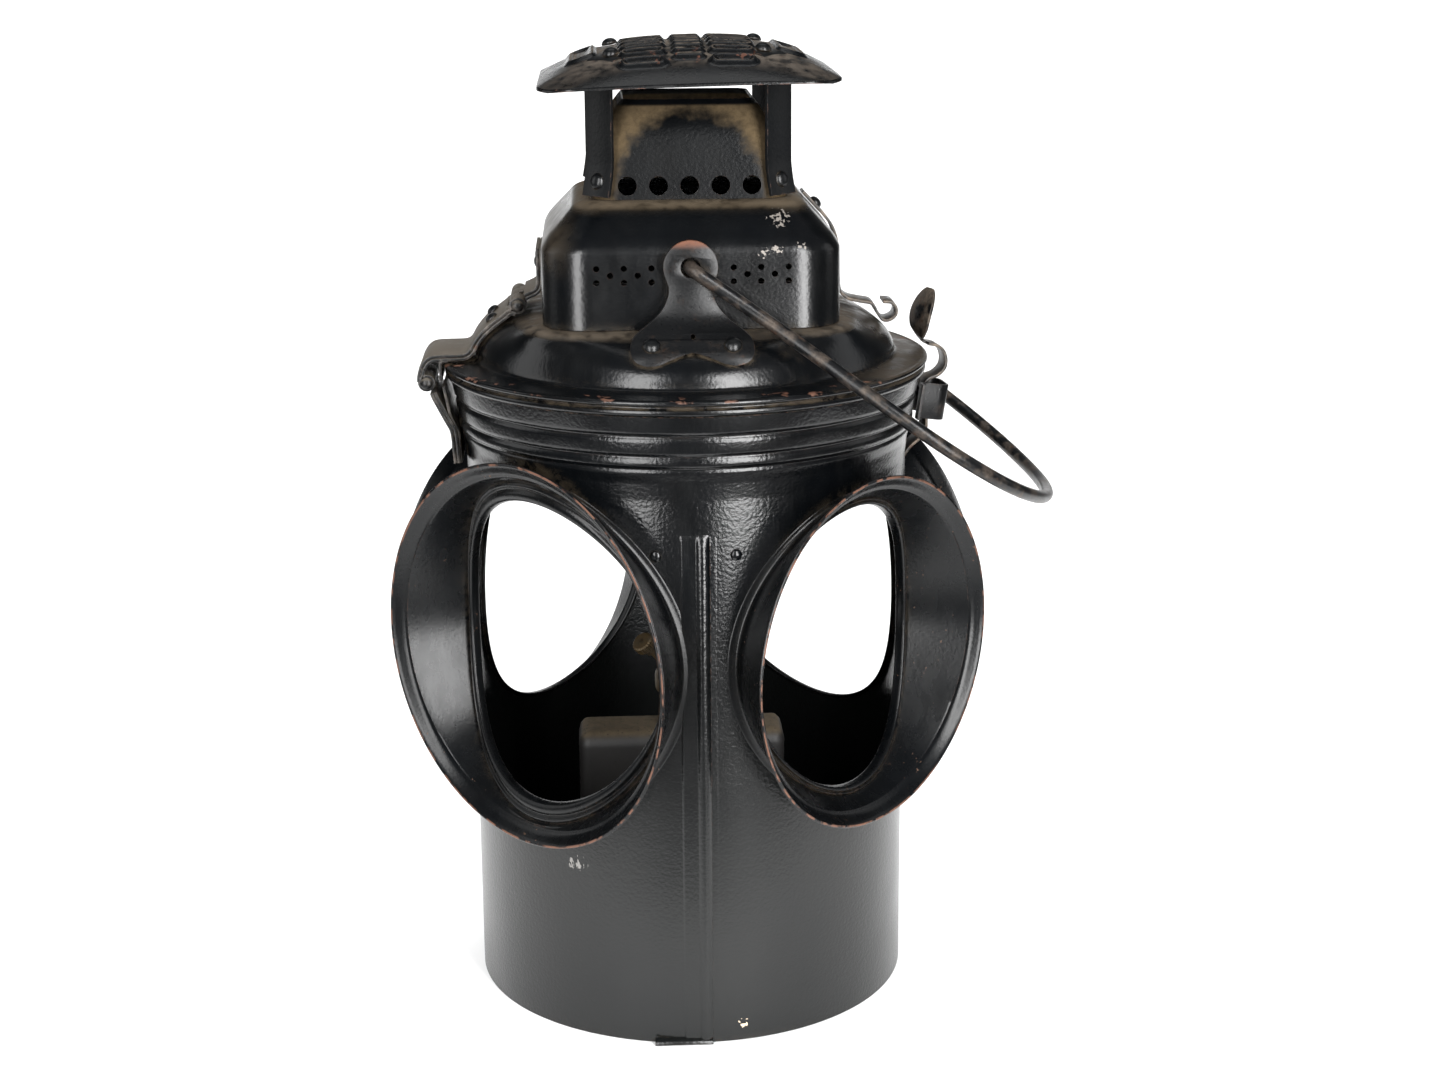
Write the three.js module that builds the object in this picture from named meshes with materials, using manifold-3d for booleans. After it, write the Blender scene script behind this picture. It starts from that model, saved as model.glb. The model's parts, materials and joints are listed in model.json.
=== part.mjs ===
// A four-way railway signal lamp of painted sheet steel, in millimetres, +Z up.
// The origin is the underside of the floor plate on the axis of the round body. -Y is the front.
// The body carries four lens hoods on its diagonals. A hinged lid carries the carrying bail, and on the
// lid a hinged ventilator carries the chimney and its rain cap. Inside stands a removable oil fount.
import * as THREE from "three";
import { mergeVertices } from "three/addons/utils/BufferGeometryUtils.js";
import Module from "manifold-3d";

const wasm = await Module();
wasm.setup();

// ---------- driving dimensions ----------
const GAP = 0.3; // clearance between pieces that touch on the real lamp
const SHEET = 1.0; // sheet steel, with its paint
const BODY_R = 89; // a 7 inch body
const BODY_TOP = 254.7;
const HOOD_Z = 155; // height of the lens axes
const RIM_R = 97.4; // rolled rim of the lid
const FLANGE_Z = 260.8; // top of the lid's flat flange
const PLATEAU_Z = 280.6; // top of the lid, where the ventilator stands
const VENT_X = 1; // the ventilator sits a little off the axis, towards its catch
const VENT_HALF = 57.3; // half width of the square ventilator
const VENT_TOP = 327.6;
const DRAUGHT_HOLES = { z: 301.7, first: 15.5, pitch: 5.2, rowStep: 2.65, radius: 1.2, columns: 5 };
const CHIMNEY_HOLES = { z: 332.8, pitch: 11.9, radius: 3.6 };
const CHIMNEY_TOP = 364.4;
const CAP_HALF = 57.4; // half width of the square rain cap
const CAP_EDGE_Z = 371.4;
const CAP_RISE = 15.5; // how far the cap's middle stands over its edge
const CAP_TILT = THREE.MathUtils.degToRad(1.3); // the cap leans a little on its bent legs
const CAP_RIVET = 29; // distance of the cap's rivets from its middle, along X and along Y
const LEG_RIVET = { reach: 50, z: 334.8 }; // the rivets at the feet of the cap's legs
const BAIL_Z = 305.4; // height of the bail's pivots
const BAIL_WIRE_R = 2.6;
const BAIL_DROOP = THREE.MathUtils.degToRad(34.5); // the bail rests this far below the level
const EAR_Y = 62.9; // middle of an ear's plate where the bail passes through it
const LID_HINGE = { x: -103.2, z: 253.9 };
const VENT_HINGE = { x: -66.5, z: 284.2 };
const HINGE_WIDTH = 36;
const HINGE_PLATE = 1.6; // thickness of the hinge straps
const KNUCKLE_R = 3.4;
const KNUCKLE_ROOM_R = 4.2;
const PIN_R = 1.35;
const PIN_HOLE_R = 1.75;
const SPRING = 1.2; // thickness of the latch and of the catch
const LATCH_TURN = THREE.MathUtils.degToRad(8); // the latch stands a little behind the lamp's right side
const COLLAR_SLOPE = THREE.MathUtils.degToRad(9); // how far the keeper leans out with the collar
const SEAM = { middleX: 1, bottom: 0.8, length: 208 }; // the standing seam down the front
const FOUNT = { middleX: -3.5, halfX: 43, halfY: 13, bottom: 1.8, top: 103.5, wall: 0.8, neckR: 8 };
const WICK = { halfX: 4, halfY: 1.2, bottom: 40, top: 143 };
const SPINDLE = { start: new THREE.Vector3(-6.2, -5.2, 126.6), end: new THREE.Vector3(-20, -17, 145) };
const ROUND = 40; // facets round the body, a multiple of eight so the hoods meet them evenly
const HOOD_FACETS = 28;
const SQUARE_FACETS = 32; // facets round the ventilator, the chimney and the cap

// A hood is a cone that widens from the body to a splayed lip: [distance from the axis, radius].
const LARGE_HOOD = { lip: [95.8, 76.6], crease: [91.2, 71.0], throat: [60, 55.6], opening: [54, 60.5] };
const SMALL_HOOD = { lip: [100.8, 69.8], crease: [96.4, 64.4], throat: [64, 45.2], opening: [46.5, 56.5] };
const HOODS = [
  { name: "lens_hood_front_left", turn: -135, size: LARGE_HOOD },
  { name: "lens_hood_front_right", turn: -45, size: SMALL_HOOD },
  { name: "lens_hood_rear_right", turn: 45, size: LARGE_HOOD },
  { name: "lens_hood_rear_left", turn: 135, size: SMALL_HOOD },
];

// ---------- materials ----------
const paint = (color) => new THREE.MeshStandardMaterial({ color, roughness: 0.5, metalness: 0.25 });
const BODY_PAINT = 0x17191c;
const LID_PAINT = 0x1a1c1e;
const FITTING_PAINT = 0x232527;
const DUSTY_TIN = 0x6d6148;
const BRASS = 0x8a7348;
const COTTON = 0xb8ac90;

// ---------- solids and meshes ----------
function toSolid(geometry) {
  const plain = geometry.clone();
  for (const extra of ["normal", "uv"]) {
    plain.deleteAttribute(extra);
  }
  const merged = mergeVertices(plain, 1e-4);
  const vertProperties = new Float32Array(merged.attributes.position.array);
  const triVerts = new Uint32Array(merged.index.array);
  return new wasm.Manifold(new wasm.Mesh({ numProp: 3, vertProperties, triVerts }));
}

function toGeometry(solid) {
  const { vertProperties, triVerts } = solid.getMesh();
  const geometry = new THREE.BufferGeometry();
  geometry.setAttribute("position", new THREE.BufferAttribute(vertProperties, 3));
  geometry.setIndex(new THREE.BufferAttribute(triVerts, 1));
  geometry.computeVertexNormals();
  return geometry;
}

const join = (...parts) => toGeometry(parts.map(toSolid).reduce((sum, part) => sum.add(part)));
const cut = (whole, ...tools) =>
  toGeometry(tools.map(toSolid).reduce((rest, tool) => rest.subtract(tool), toSolid(whole)));
const common = (a, b) => toGeometry(toSolid(a).intersect(toSolid(b)));

function mesh(name, geometry, color) {
  const made = new THREE.Mesh(geometry, paint(color));
  made.name = name;
  return made;
}

function box(x0, x1, y0, y1, z0, z1) {
  return new THREE.BoxGeometry(x1 - x0, y1 - y0, z1 - z0)
    .translate((x0 + x1) / 2, (y0 + y1) / 2, (z0 + z1) / 2);
}

// A turned solid about Z from a profile of [radius, z], listed so that it closes on itself.
function turned(profile, segments) {
  const points = profile.map(([r, z]) => new THREE.Vector2(r, z));
  if (profile[0][0] > 0) {
    points.push(points[0].clone());
  }
  return new THREE.LatheGeometry(points, segments).rotateX(Math.PI / 2);
}

// A cylinder from one end to the other, both THREE.Vector3.
function rod(start, end, radius, segments = 12) {
  const axis = end.clone().sub(start);
  const turn = new THREE.Quaternion().setFromUnitVectors(new THREE.Vector3(0, 1, 0), axis.clone().normalize());
  return new THREE.CylinderGeometry(radius, radius, axis.length(), segments)
    .applyQuaternion(turn)
    .translate(...start.clone().add(end).multiplyScalar(0.5).toArray());
}

const alongY = (x, z, y0, y1, radius, segments = 16) =>
  rod(new THREE.Vector3(x, y0, z), new THREE.Vector3(x, y1, z), radius, segments);

// The points of an open line moved sideways by distance, to its left as it runs.
function sidestep(points, distance) {
  return points.map(([a, b], i) => {
    const [a0, b0] = points[Math.max(i - 1, 0)];
    const [a1, b1] = points[Math.min(i + 1, points.length - 1)];
    const length = Math.hypot(a1 - a0, b1 - b0);
    return [a - (distance * (b1 - b0)) / length, b + (distance * (a1 - a0)) / length];
  });
}

// A line with its sheet thickness, as a closed profile: the line, and back along its other face.
const sheetProfile = (line, thickness) => [...line, ...sidestep(line, thickness).reverse()];

function smooth(points, steps) {
  const curve = new THREE.SplineCurve(points.map(([a, b]) => new THREE.Vector2(a, b)));
  return curve.getPoints(steps).map((p) => [p.x, p.y]);
}

// A bent strip: a centre line of [x, z] with a thickness, standing width wide across Y.
function strip(line, thickness, width) {
  const edge = sidestep(line, thickness / 2);
  const outline = [...edge, ...sidestep(line, -thickness / 2).reverse()];
  const shape = new THREE.Shape(outline.map(([x, z]) => new THREE.Vector2(x, z)));
  return new THREE.ExtrudeGeometry(shape, { depth: width, bevelEnabled: false })
    .rotateX(Math.PI / 2)
    .translate(0, width / 2, 0);
}

// The distance to a square of half width 1 with rounded corners, in the direction of angle.
function squareReach(angle, corner) {
  const [low, high] = [Math.abs(Math.cos(angle)), Math.abs(Math.sin(angle))].sort((a, b) => a - b);
  const centre = 1 - corner;
  if (low / high <= centre) {
    return 1 / high;
  }
  return centre * (low + high) + Math.sqrt(corner ** 2 - centre ** 2 * (high - low) ** 2);
}

// A closed skin over rings that follow each other round a loop: rows of equal length.
function skinLoop(rows) {
  const count = rows[0].length;
  const index = [];
  rows.forEach((_, i) => {
    const next = (i + 1) % rows.length;
    for (let k = 0; k < count; k++) {
      const [a, b] = [i * count + k, i * count + ((k + 1) % count)];
      const [c, d] = [next * count + k, next * count + ((k + 1) % count)];
      index.push(a, b, d, a, d, c);
    }
  });
  const geometry = new THREE.BufferGeometry();
  geometry.setAttribute("position", new THREE.Float32BufferAttribute(rows.flat(2), 3));
  geometry.setIndex(index);
  return geometry;
}

// A shell between round and square: line is [half width, z, squareness], corner the corner's share.
function squareShell(line, thickness, corner, segments) {
  const flat = line.map(([r, z]) => [r, z]);
  const other = sidestep(flat, thickness).map(([r, z], i) => [r, z, line[i][2]]);
  const loop = [...line, ...other.reverse()];
  const rows = loop.map(([half, z, squareness]) =>
    Array.from({ length: segments }, (_, k) => {
      const angle = (k * 2 * Math.PI) / segments;
      const reach = half * (1 + squareness * (squareReach(angle, corner) - 1));
      return [reach * Math.cos(angle), reach * Math.sin(angle), z];
    }),
  );
  return skinLoop(rows);
}

// A domed rivet head with its flat side on the origin, facing +Z.
function rivetHead(radius = 2.9, height = 1.7) {
  return turned([[0, 0], [radius, 0], [radius * 0.72, height * 0.72], [0, height]], 10);
}

function placeFacing(geometry, place, facing) {
  const turn = new THREE.Quaternion().setFromUnitVectors(new THREE.Vector3(0, 0, 1), facing.normalize());
  return geometry.applyQuaternion(turn).translate(...place);
}

// ---------- body ----------
const bodyOutside = [
  [BODY_R, 0], [BODY_R, 225], [89.7, 228], [91.4, 231.6], [91.8, 238.4], [93.2, 246], [94.8, BODY_TOP],
];

function hoodPlug({ lip, crease, throat }, inset) {
  const line = [[0, throat[0]], [throat[1] - inset, throat[0]], [crease[1] - inset, crease[0]]];
  line.push([lip[1] - inset, lip[0]], [0, lip[0]]);
  return line;
}

// A plug of the hood's form, lying along +X at the height of the lens axes.
const alongX = (geometry) => geometry.rotateY(Math.PI / 2).translate(0, 0, HOOD_Z);

function openingTool({ opening: [halfWidth, halfHeight] }) {
  return new THREE.CylinderGeometry(1, 1, 60, HOOD_FACETS)
    .rotateX(Math.PI / 2)
    .scale(halfHeight, halfWidth, 1)
    .translate(0, 0, 75)
    .applyMatrix4(new THREE.Matrix4().makeRotationY(Math.PI / 2))
    .translate(0, 0, HOOD_Z);
}

function bodyShell() {
  const shell = turned(sheetProfile(bodyOutside, SHEET), ROUND);
  const tools = HOODS.map(({ turn, size }) => openingTool(size).rotateZ(THREE.MathUtils.degToRad(turn)));
  return cut(shell, ...tools);
}

// The hood's cone, cut to stand on the round body, with a foot that laps the body round the opening.
function lensHood(size) {
  const outside = alongX(turned(hoodPlug(size, 0), HOOD_FACETS));
  const deep = { ...size, throat: [size.throat[0] - 2, size.throat[1] - 1] };
  const proud = { ...deep, lip: [size.lip[0] + 1, size.lip[1] + 1.2] };
  const inside = alongX(turned(hoodPlug(proud, SHEET), HOOD_FACETS));
  const round = (radius) => new THREE.CylinderGeometry(radius, radius, 300, ROUND)
    .rotateX(Math.PI / 2)
    .translate(0, 0, HOOD_Z);
  const body = round(BODY_R + GAP);
  const cone = cut(outside, inside, body);
  const foot = cut(common(outside, round(BODY_R + GAP + SHEET)), body, openingTool(size));
  return join(cone, foot);
}

function hood({ name, turn, size }) {
  const made = mesh(name, lensHood(size), BODY_PAINT);
  made.rotation.z = THREE.MathUtils.degToRad(turn);
  return made;
}

// The body's standing seam: a flat strip with two ridges, [x from its middle, height over the body].
function lockSeam() {
  const right = [[0, GAP], [4, GAP], [7.7, GAP], [7.7, 0.9], [4.8, 1.2], [4.1, 2.2], [2.7, 2.2], [2, 1.2]];
  const left = right.slice(1).map(([x, height]) => [-x, height]).reverse();
  const outline = [...right, ...left].map(([x, height]) => {
    const across = x + SEAM.middleX;
    return new THREE.Vector2(across, (across * across) / (2 * BODY_R) - BODY_R - height);
  });
  const seam = new THREE.ExtrudeGeometry(new THREE.Shape(outline), { depth: SEAM.length, bevelEnabled: false })
    .translate(0, 0, SEAM.bottom);
  const hoodRoom = alongX(turned(hoodPlug(LARGE_HOOD, -GAP), HOOD_FACETS));
  return cut(seam, hoodRoom.rotateZ(THREE.MathUtils.degToRad(-135)));
}

function bodyRivet(x) {
  const angle = Math.asin(x / BODY_R);
  const facing = new THREE.Vector3(Math.sin(angle), -Math.cos(angle), 0);
  const place = facing.clone().multiplyScalar(BODY_R + 0.1).setZ(200.4);
  return placeFacing(rivetHead(2.3, 1.4), place.toArray(), facing);
}

function floorPlate() {
  return turned([[0, 0], [87.5, 0], [87.5, 6], [86.5, 6], [86.5, 1.5], [0, 1.5]], ROUND);
}

// ---------- hinges ----------
// A hinge plate: a strip that ends at the pivot, with knuckles on some spans of Y and room on the others.
function hingePlate(line, width, pivot, knuckles, free) {
  const plate = strip(line, HINGE_PLATE, width);
  const barrels = knuckles.map(([y0, y1]) => alongY(pivot.x, pivot.z, y0, y1, KNUCKLE_R));
  const holes = [alongY(pivot.x, pivot.z, -40, 40, PIN_HOLE_R)];
  holes.push(...free.map(([y0, y1]) => alongY(pivot.x, pivot.z, y0, y1, KNUCKLE_ROOM_R)));
  return cut(join(plate, ...barrels), ...holes);
}

const HALF = HINGE_WIDTH / 2;
const OUTER_KNUCKLES = [[-HALF, -6.4], [6.4, HALF]];
const MIDDLE_KNUCKLE = [[-5.8, 5.8]];
const MIDDLE_ROOM = [[-6.4, 6.4]];
const OUTER_ROOM = [[-HALF - 1, -5.8], [5.8, HALF + 1]];

function hingePin(pivot) {
  const end = HALF + 0.4;
  const pin = alongY(pivot.x, pivot.z, -end - 0.8, end + 0.8, PIN_R, 12);
  const heads = [-1, 1].map((side) => alongY(pivot.x, pivot.z, side * end, side * (end + 1.3), 2.4, 12));
  return join(pin, ...heads);
}

// The lid's strap runs from the lower pivot over the flange and up the bulge to the upper pivot.
const lidStrapLine = [
  [LID_HINGE.x - 2.6, LID_HINGE.z + 0.4], [-105.2, 257.4], [-103.4, 261.8], [-101.4, 263.8], [-99.4, 264.2],
  [-88, 264.4], [-85.8, 266.2], [-83.8, 270.2], [-79.4, 275.2], [-73.4, 279.4], [-69.6, 281.6],
  [VENT_HINGE.x - 1, VENT_HINGE.z - 2.5],
];

function lidHingeStrap() {
  const plate = hingePlate(lidStrapLine, HINGE_WIDTH, LID_HINGE, OUTER_KNUCKLES, MIDDLE_ROOM);
  const upper = OUTER_KNUCKLES.map(([y0, y1]) => alongY(VENT_HINGE.x, VENT_HINGE.z, y0, y1, KNUCKLE_R));
  const hole = alongY(VENT_HINGE.x, VENT_HINGE.z, -40, 40, PIN_HOLE_R);
  const room = alongY(VENT_HINGE.x, VENT_HINGE.z, ...MIDDLE_ROOM[0], KNUCKLE_ROOM_R);
  return cut(join(plate, ...upper), hole, room);
}

function bodyHingeLeaf() {
  const foot = -BODY_R - 3.2;
  const line = [[LID_HINGE.x + 2.2, LID_HINGE.z - 1.5], [-100.4, 248.6], [-95.2, 238.2], [-93.6, 235.4]];
  line.push([foot - 0.9, 233.2], [foot - 0.6, 230], [foot, 221]);
  return hingePlate(line, HINGE_WIDTH, LID_HINGE, MIDDLE_KNUCKLE, OUTER_ROOM);
}

function ventHingeStrap() {
  const wall = -VENT_HALF + VENT_X - GAP - 0.9;
  const line = [[VENT_HINGE.x + 0.8, VENT_HINGE.z + 2.5], [-63.2, 287.4], [wall - 1.2, 289.4], [wall, 292]];
  line.push([wall, 298], [wall, 306.5]);
  return hingePlate(line, HINGE_WIDTH - 4, VENT_HINGE, MIDDLE_KNUCKLE, OUTER_ROOM);
}

// ---------- lid ----------
const lidOutside = [
  [96.2, 255.2, 0], [RIM_R, 257.2, 0], [RIM_R - 0.5, 259.8, 0], [95.4, FLANGE_Z, 0], [86, 262.2, 0],
  [83.9, 264.6, 0], [80.9, 270.4, 0.1], [74, 275.9, 0.35], [64, 279.6, 0.9], [55, PLATEAU_Z, 1],
  [47, PLATEAU_Z, 1],
];
const LID_CORNER = 0.34;

const lidShell = () => squareShell(lidOutside, SHEET, LID_CORNER, ROUND);

// An ear stands on the front of the lid: a flat outline, then bent to the lid's slope at its foot.
// earLine is the bend, as [y, z].
const earLine = [
  [-77.6, 275.4], [-75.8, 277], [-71.6, 279.8], [-67.4, 283], [-64.8, 287.4], [-63.4, 293], [-EAR_Y, 299],
  [-EAR_Y, 318],
];

function earOutline() {
  const eye = { z: BAIL_Z, r: 10.2 };
  const shape = new THREE.Shape();
  shape.moveTo(-23.5, 277.6);
  shape.bezierCurveTo(-23, 272.5, -16, 270.8, -12, 273.4);
  shape.bezierCurveTo(-7, 276.8, 7, 276.8, 12, 273.4);
  shape.bezierCurveTo(16, 270.8, 23, 272.5, 23.5, 277.6);
  shape.bezierCurveTo(22, 283, 12, 284, 8.4, 292);
  shape.bezierCurveTo(7.4, 296, 8.6, 298, 9.6, 301.8);
  shape.absarc(0, eye.z, eye.r, -0.36, Math.PI + 0.36, false);
  shape.bezierCurveTo(-8.6, 298, -7.4, 296, -8.4, 292);
  shape.bezierCurveTo(-12, 284, -22, 283, -23.5, 277.6);
  return new THREE.ExtrudeGeometry(shape, { depth: 120, bevelEnabled: false, curveSegments: 5 })
    .rotateX(Math.PI / 2);
}

function bailEar() {
  const bent = strip(smooth(earLine, 14), 2, 60).rotateZ(Math.PI / 2);
  const eye = rod(new THREE.Vector3(0, -50, BAIL_Z), new THREE.Vector3(0, -75, BAIL_Z), 3.9, 16);
  return cut(common(bent, earOutline()), eye);
}

function earRivet(side) {
  return placeFacing(rivetHead(3.2, 1.9), [side * 15.2, -75.2, 279.4], new THREE.Vector3(0, -0.62, 1));
}

// ---------- bail ----------
// Half of the bail in its own plane: [reach from the pivot axis, y].
const bailHalf = [
  [0, -60.4], [0, -62.4], [0, -64.2], [0.9, -66.4], [3.1, -67.4], [7, -67.6], [18, -68.2], [34, -71],
  [52, -77], [70, -85], [88, -92], [106, -96], [124, -94.5], [141, -86.5], [156, -71.5], [168, -50.5],
  [175.6, -26],
];

function bailRod() {
  const tip = [178, 0];
  const route = [...bailHalf, tip, ...bailHalf.map(([reach, y]) => [reach, -y]).reverse()];
  const points = route.map(([reach, y]) => new THREE.Vector3(reach, y, 0));
  const path = new THREE.CatmullRomCurve3(points);
  const section = new THREE.Shape().absarc(0, 0, BAIL_WIRE_R, 0, 2 * Math.PI, false);
  return new THREE.ExtrudeGeometry(section, {
    steps: 54, curveSegments: 3, bevelEnabled: false, extrudePath: path,
  }).rotateY(BAIL_DROOP);
}

// ---------- ventilator ----------
const ventOutside = [
  [VENT_HALF, PLATEAU_Z + GAP, 1], [VENT_HALF, 309, 1], [VENT_HALF - 2.2, 314.2, 1], [46.2, 324, 1],
  [41.2, VENT_TOP, 1], [34.6, VENT_TOP, 1],
];
const VENT_CORNER = 0.31;

// Small draught holes beside each ear, in columns of two and of one, through the front and the back.
function draughtHoles() {
  const { z, first, pitch, rowStep, radius, columns } = DRAUGHT_HOLES;
  const holes = [];
  for (const side of [-1, 1]) {
    for (let column = 0; column < columns; column++) {
      const x = side * (first + column * pitch);
      const rows = column % 2 === 0 ? [-rowStep, rowStep] : [0];
      for (const dz of rows) {
        holes.push(rod(new THREE.Vector3(x, -70, z + dz), new THREE.Vector3(x, 70, z + dz), radius, 6));
      }
    }
  }
  return holes;
}

const ventDome = () => cut(squareShell(ventOutside, SHEET, VENT_CORNER, SQUARE_FACETS), ...draughtHoles());

const chimneyOutside = [
  [37.9, VENT_TOP + GAP, 1], [36.2, 338, 1], [34.4, 347.4, 1], [32.4, 353.4, 1], [28.4, 360, 1],
  [25.4, CHIMNEY_TOP, 1],
];
const CHIMNEY_CORNER = 0.27;

// Five round holes near the foot of each of the chimney's four walls.
function chimneyHoles() {
  const { z, pitch, radius } = CHIMNEY_HOLES;
  const holes = [];
  for (const column of [-2, -1, 0, 1, 2]) {
    const across = column * pitch;
    holes.push(rod(new THREE.Vector3(across, -45, z), new THREE.Vector3(across, 45, z), radius, 8));
    holes.push(rod(new THREE.Vector3(-45, across, z), new THREE.Vector3(45, across, z), radius, 8));
  }
  return holes;
}

function chimney() {
  const shell = squareShell(chimneyOutside, SHEET, CHIMNEY_CORNER, SQUARE_FACETS);
  return cut(shell, ...chimneyHoles());
}

const CAP_CORNER = 0.26;

// Leans a piece of the cap about the cap's own middle.
const withCapTilt = (geometry) =>
  geometry.translate(0, 0, -CAP_EDGE_Z).rotateY(-CAP_TILT).translate(0, 0, CAP_EDGE_Z);

// The cap's height over its edge, for a share of the way from its middle (0) to its edge (1).
const capRise = (share) => CAP_RISE * (1 - 0.62 * share ** 2.4 - 0.38 * share ** 5);

function cap() {
  const shares = [1, 0.86, 0.7, 0.5, 0.25];
  const row = (share, drop) =>
    Array.from({ length: SQUARE_FACETS }, (_, k) => {
      const angle = (k * 2 * Math.PI) / SQUARE_FACETS;
      const reach = CAP_HALF * squareReach(angle, CAP_CORNER) * share;
      return [reach * Math.cos(angle), reach * Math.sin(angle), CAP_EDGE_Z + capRise(share) - drop];
    });
  const middle = (drop) => Array.from({ length: SQUARE_FACETS }, () => [0, 0, CAP_EDGE_Z + CAP_RISE - drop]);
  const under = shares.map((share) => row(share, SHEET)).reverse();
  const over = shares.map((share) => row(share, 0));
  return withCapTilt(skinLoop([middle(SHEET), ...under, ...over, middle(0)]));
}

// How high the cap lies over its edge where its rivets are.
const capRiseAtRivets = capRise(0.56);

// A cap leg on a diagonal: its foot lies on the chimney's corner, then it stands up to the cap.
function capLeg(x, y) {
  const reach = Math.hypot(CAP_RIVET, CAP_RIVET);
  const seat = CAP_EDGE_Z + capRiseAtRivets + x * Math.tan(CAP_TILT) - 3;
  const line = [[50.4, 329], [49, 334.6], [48.3, 339.4], [48.2, 344], [48.2, seat - 4.6]];
  line.push([47.6, seat - 2.4], [46, seat - 1.2], [reach - 4.5, seat + 0.7]);
  return strip(line, 1.5, 14).rotateZ(Math.atan2(y, x));
}

function capRivet(x, y) {
  const z = CAP_EDGE_Z + capRiseAtRivets + 0.1;
  const facing = new THREE.Vector3(x / 170, y / 170, 1);
  return withCapTilt(placeFacing(rivetHead(3.1, 2), [x, y, z], facing));
}

function legRivet(x, y) {
  const angle = Math.atan2(y, x);
  const facing = new THREE.Vector3(Math.cos(angle), Math.sin(angle), 0.2);
  const place = [LEG_RIVET.reach * Math.cos(angle), LEG_RIVET.reach * Math.sin(angle), LEG_RIVET.z];
  return placeFacing(rivetHead(3, 1.8), place, facing);
}

// The ventilator's catch: a spring strip down its side that ends in a curled finger over the lid.
const catchLine = [
  [47, 325.9], [51.6, 320.9], [55.9, 316.1], [59, 311.4], [60.9, 304], [61.3, 292], [62, 286.4], [65, 283.4],
  [70, 282], [74.8, 280.9], [77, 277.4], [79.2, 274.4], [82, 274.3], [84.4, 276.2], [84.6, 279], [82.8, 281.2],
  [79.4, 281.6],
];

function catchRivet() {
  return placeFacing(rivetHead(2.6, 1.6), [52.5, 0, 321.2], new THREE.Vector3(0.74, 0, 0.67));
}

// The lid's latch: a spring strip up the body, through its keeper, round the rim to a thumb tab.
const latchLine = [
  [90.1, 203], [90.1, 213], [92.4, 217.6], [98.4, 223.2], [100, 227.6], [98.9, 240], [98.6, 246.4],
  [100.6, 249.4], [104.4, 250.8], [107, 254], [107.4, 257.8], [106, 261.4], [103.4, 263.4], [100.4, 264],
  [98.9, 265.4], [98.3, 268.6], [97.8, 273.4], [98.2, 279], [99.6, 284.4], [101, 287.4],
];

// The keeper: a hat-shaped loop on the body's collar that the latch runs through.
function latchKeeper() {
  const foot = { x: 95, z: 239 };
  const line = [[-14.5, 95], [-9, 95], [-8.3, 95.6], [-8.3, 106.2], [-6.8, 107.9], [6.8, 107.9], [8.3, 106.2]];
  line.push([8.3, 95.6], [9, 95], [14.5, 95]);
  const edges = [...sidestep(line, 0.5), ...sidestep(line, -0.5).reverse()];
  const shape = new THREE.Shape(edges.map(([y, x]) => new THREE.Vector2(x - foot.x, y)));
  return new THREE.ExtrudeGeometry(shape, { depth: 15, bevelEnabled: false })
    .translate(0, 0, -7.5)
    .rotateY(COLLAR_SLOPE)
    .translate(foot.x, 0, foot.z)
    .rotateZ(LATCH_TURN);
}

// ---------- fount and burner ----------
function roundedPlate(halfX, halfY, corner, z0, z1) {
  const shape = new THREE.Shape();
  shape.moveTo(-halfX + corner, -halfY);
  shape.lineTo(halfX - corner, -halfY);
  shape.quadraticCurveTo(halfX, -halfY, halfX, -halfY + corner);
  shape.lineTo(halfX, halfY - corner);
  shape.quadraticCurveTo(halfX, halfY, halfX - corner, halfY);
  shape.lineTo(-halfX + corner, halfY);
  shape.quadraticCurveTo(-halfX, halfY, -halfX, halfY - corner);
  shape.lineTo(-halfX, -halfY + corner);
  shape.quadraticCurveTo(-halfX, -halfY, -halfX + corner, -halfY);
  return new THREE.ExtrudeGeometry(shape, { depth: z1 - z0, bevelEnabled: false, curveSegments: 4 })
    .translate(0, 0, z0);
}

// A flat tin tank, open only at the neck under the burner.
function fount() {
  const { middleX, halfX, halfY, bottom, top, wall, neckR } = FOUNT;
  const tank = roundedPlate(halfX, halfY, 4, bottom, top);
  const oilSpace = roundedPlate(halfX - wall, halfY - wall, 3.4, bottom + wall, top - wall);
  const neck = rod(new THREE.Vector3(0, 0, top - 5), new THREE.Vector3(0, 0, top + 5), neckR, 16);
  return cut(tank.translate(middleX, 0, 0), oilSpace.translate(middleX, 0, 0), neck);
}

const spindleAxis = SPINDLE.end.clone().sub(SPINDLE.start).normalize();

function burner() {
  const z = FOUNT.top + GAP;
  const profile = [
    [0, z], [12, z], [12, z + 8], [9.4, z + 9.5], [9.4, z + 13], [14.2, z + 14.5], [14.2, z + 22.5],
    [11.5, z + 24.5], [7.6, z + 33], [6, z + 36], [0, z + 36],
  ];
  const slot = box(-WICK.halfX - 0.5, WICK.halfX + 0.5, -WICK.halfY - 0.5, WICK.halfY + 0.5, WICK.bottom - 1, 150);
  const bore = rod(SPINDLE.start.clone().addScaledVector(spindleAxis, -3), SPINDLE.end, 1.9, 10);
  return cut(turned(profile, 24), slot, bore);
}

function wickWheel() {
  const knobStart = SPINDLE.end.clone().addScaledVector(spindleAxis, -4.4);
  const collarStart = SPINDLE.end.clone().addScaledVector(spindleAxis, -8.4);
  const spindle = rod(SPINDLE.start, SPINDLE.end, 1.3, 10);
  const collar = rod(collarStart, knobStart, 2.4, 10);
  const knob = rod(knobStart, SPINDLE.end, 4.6, 16);
  return join(spindle, collar, knob);
}

const wick = () => box(-WICK.halfX, WICK.halfX, -WICK.halfY, WICK.halfY, WICK.bottom, WICK.top);

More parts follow.
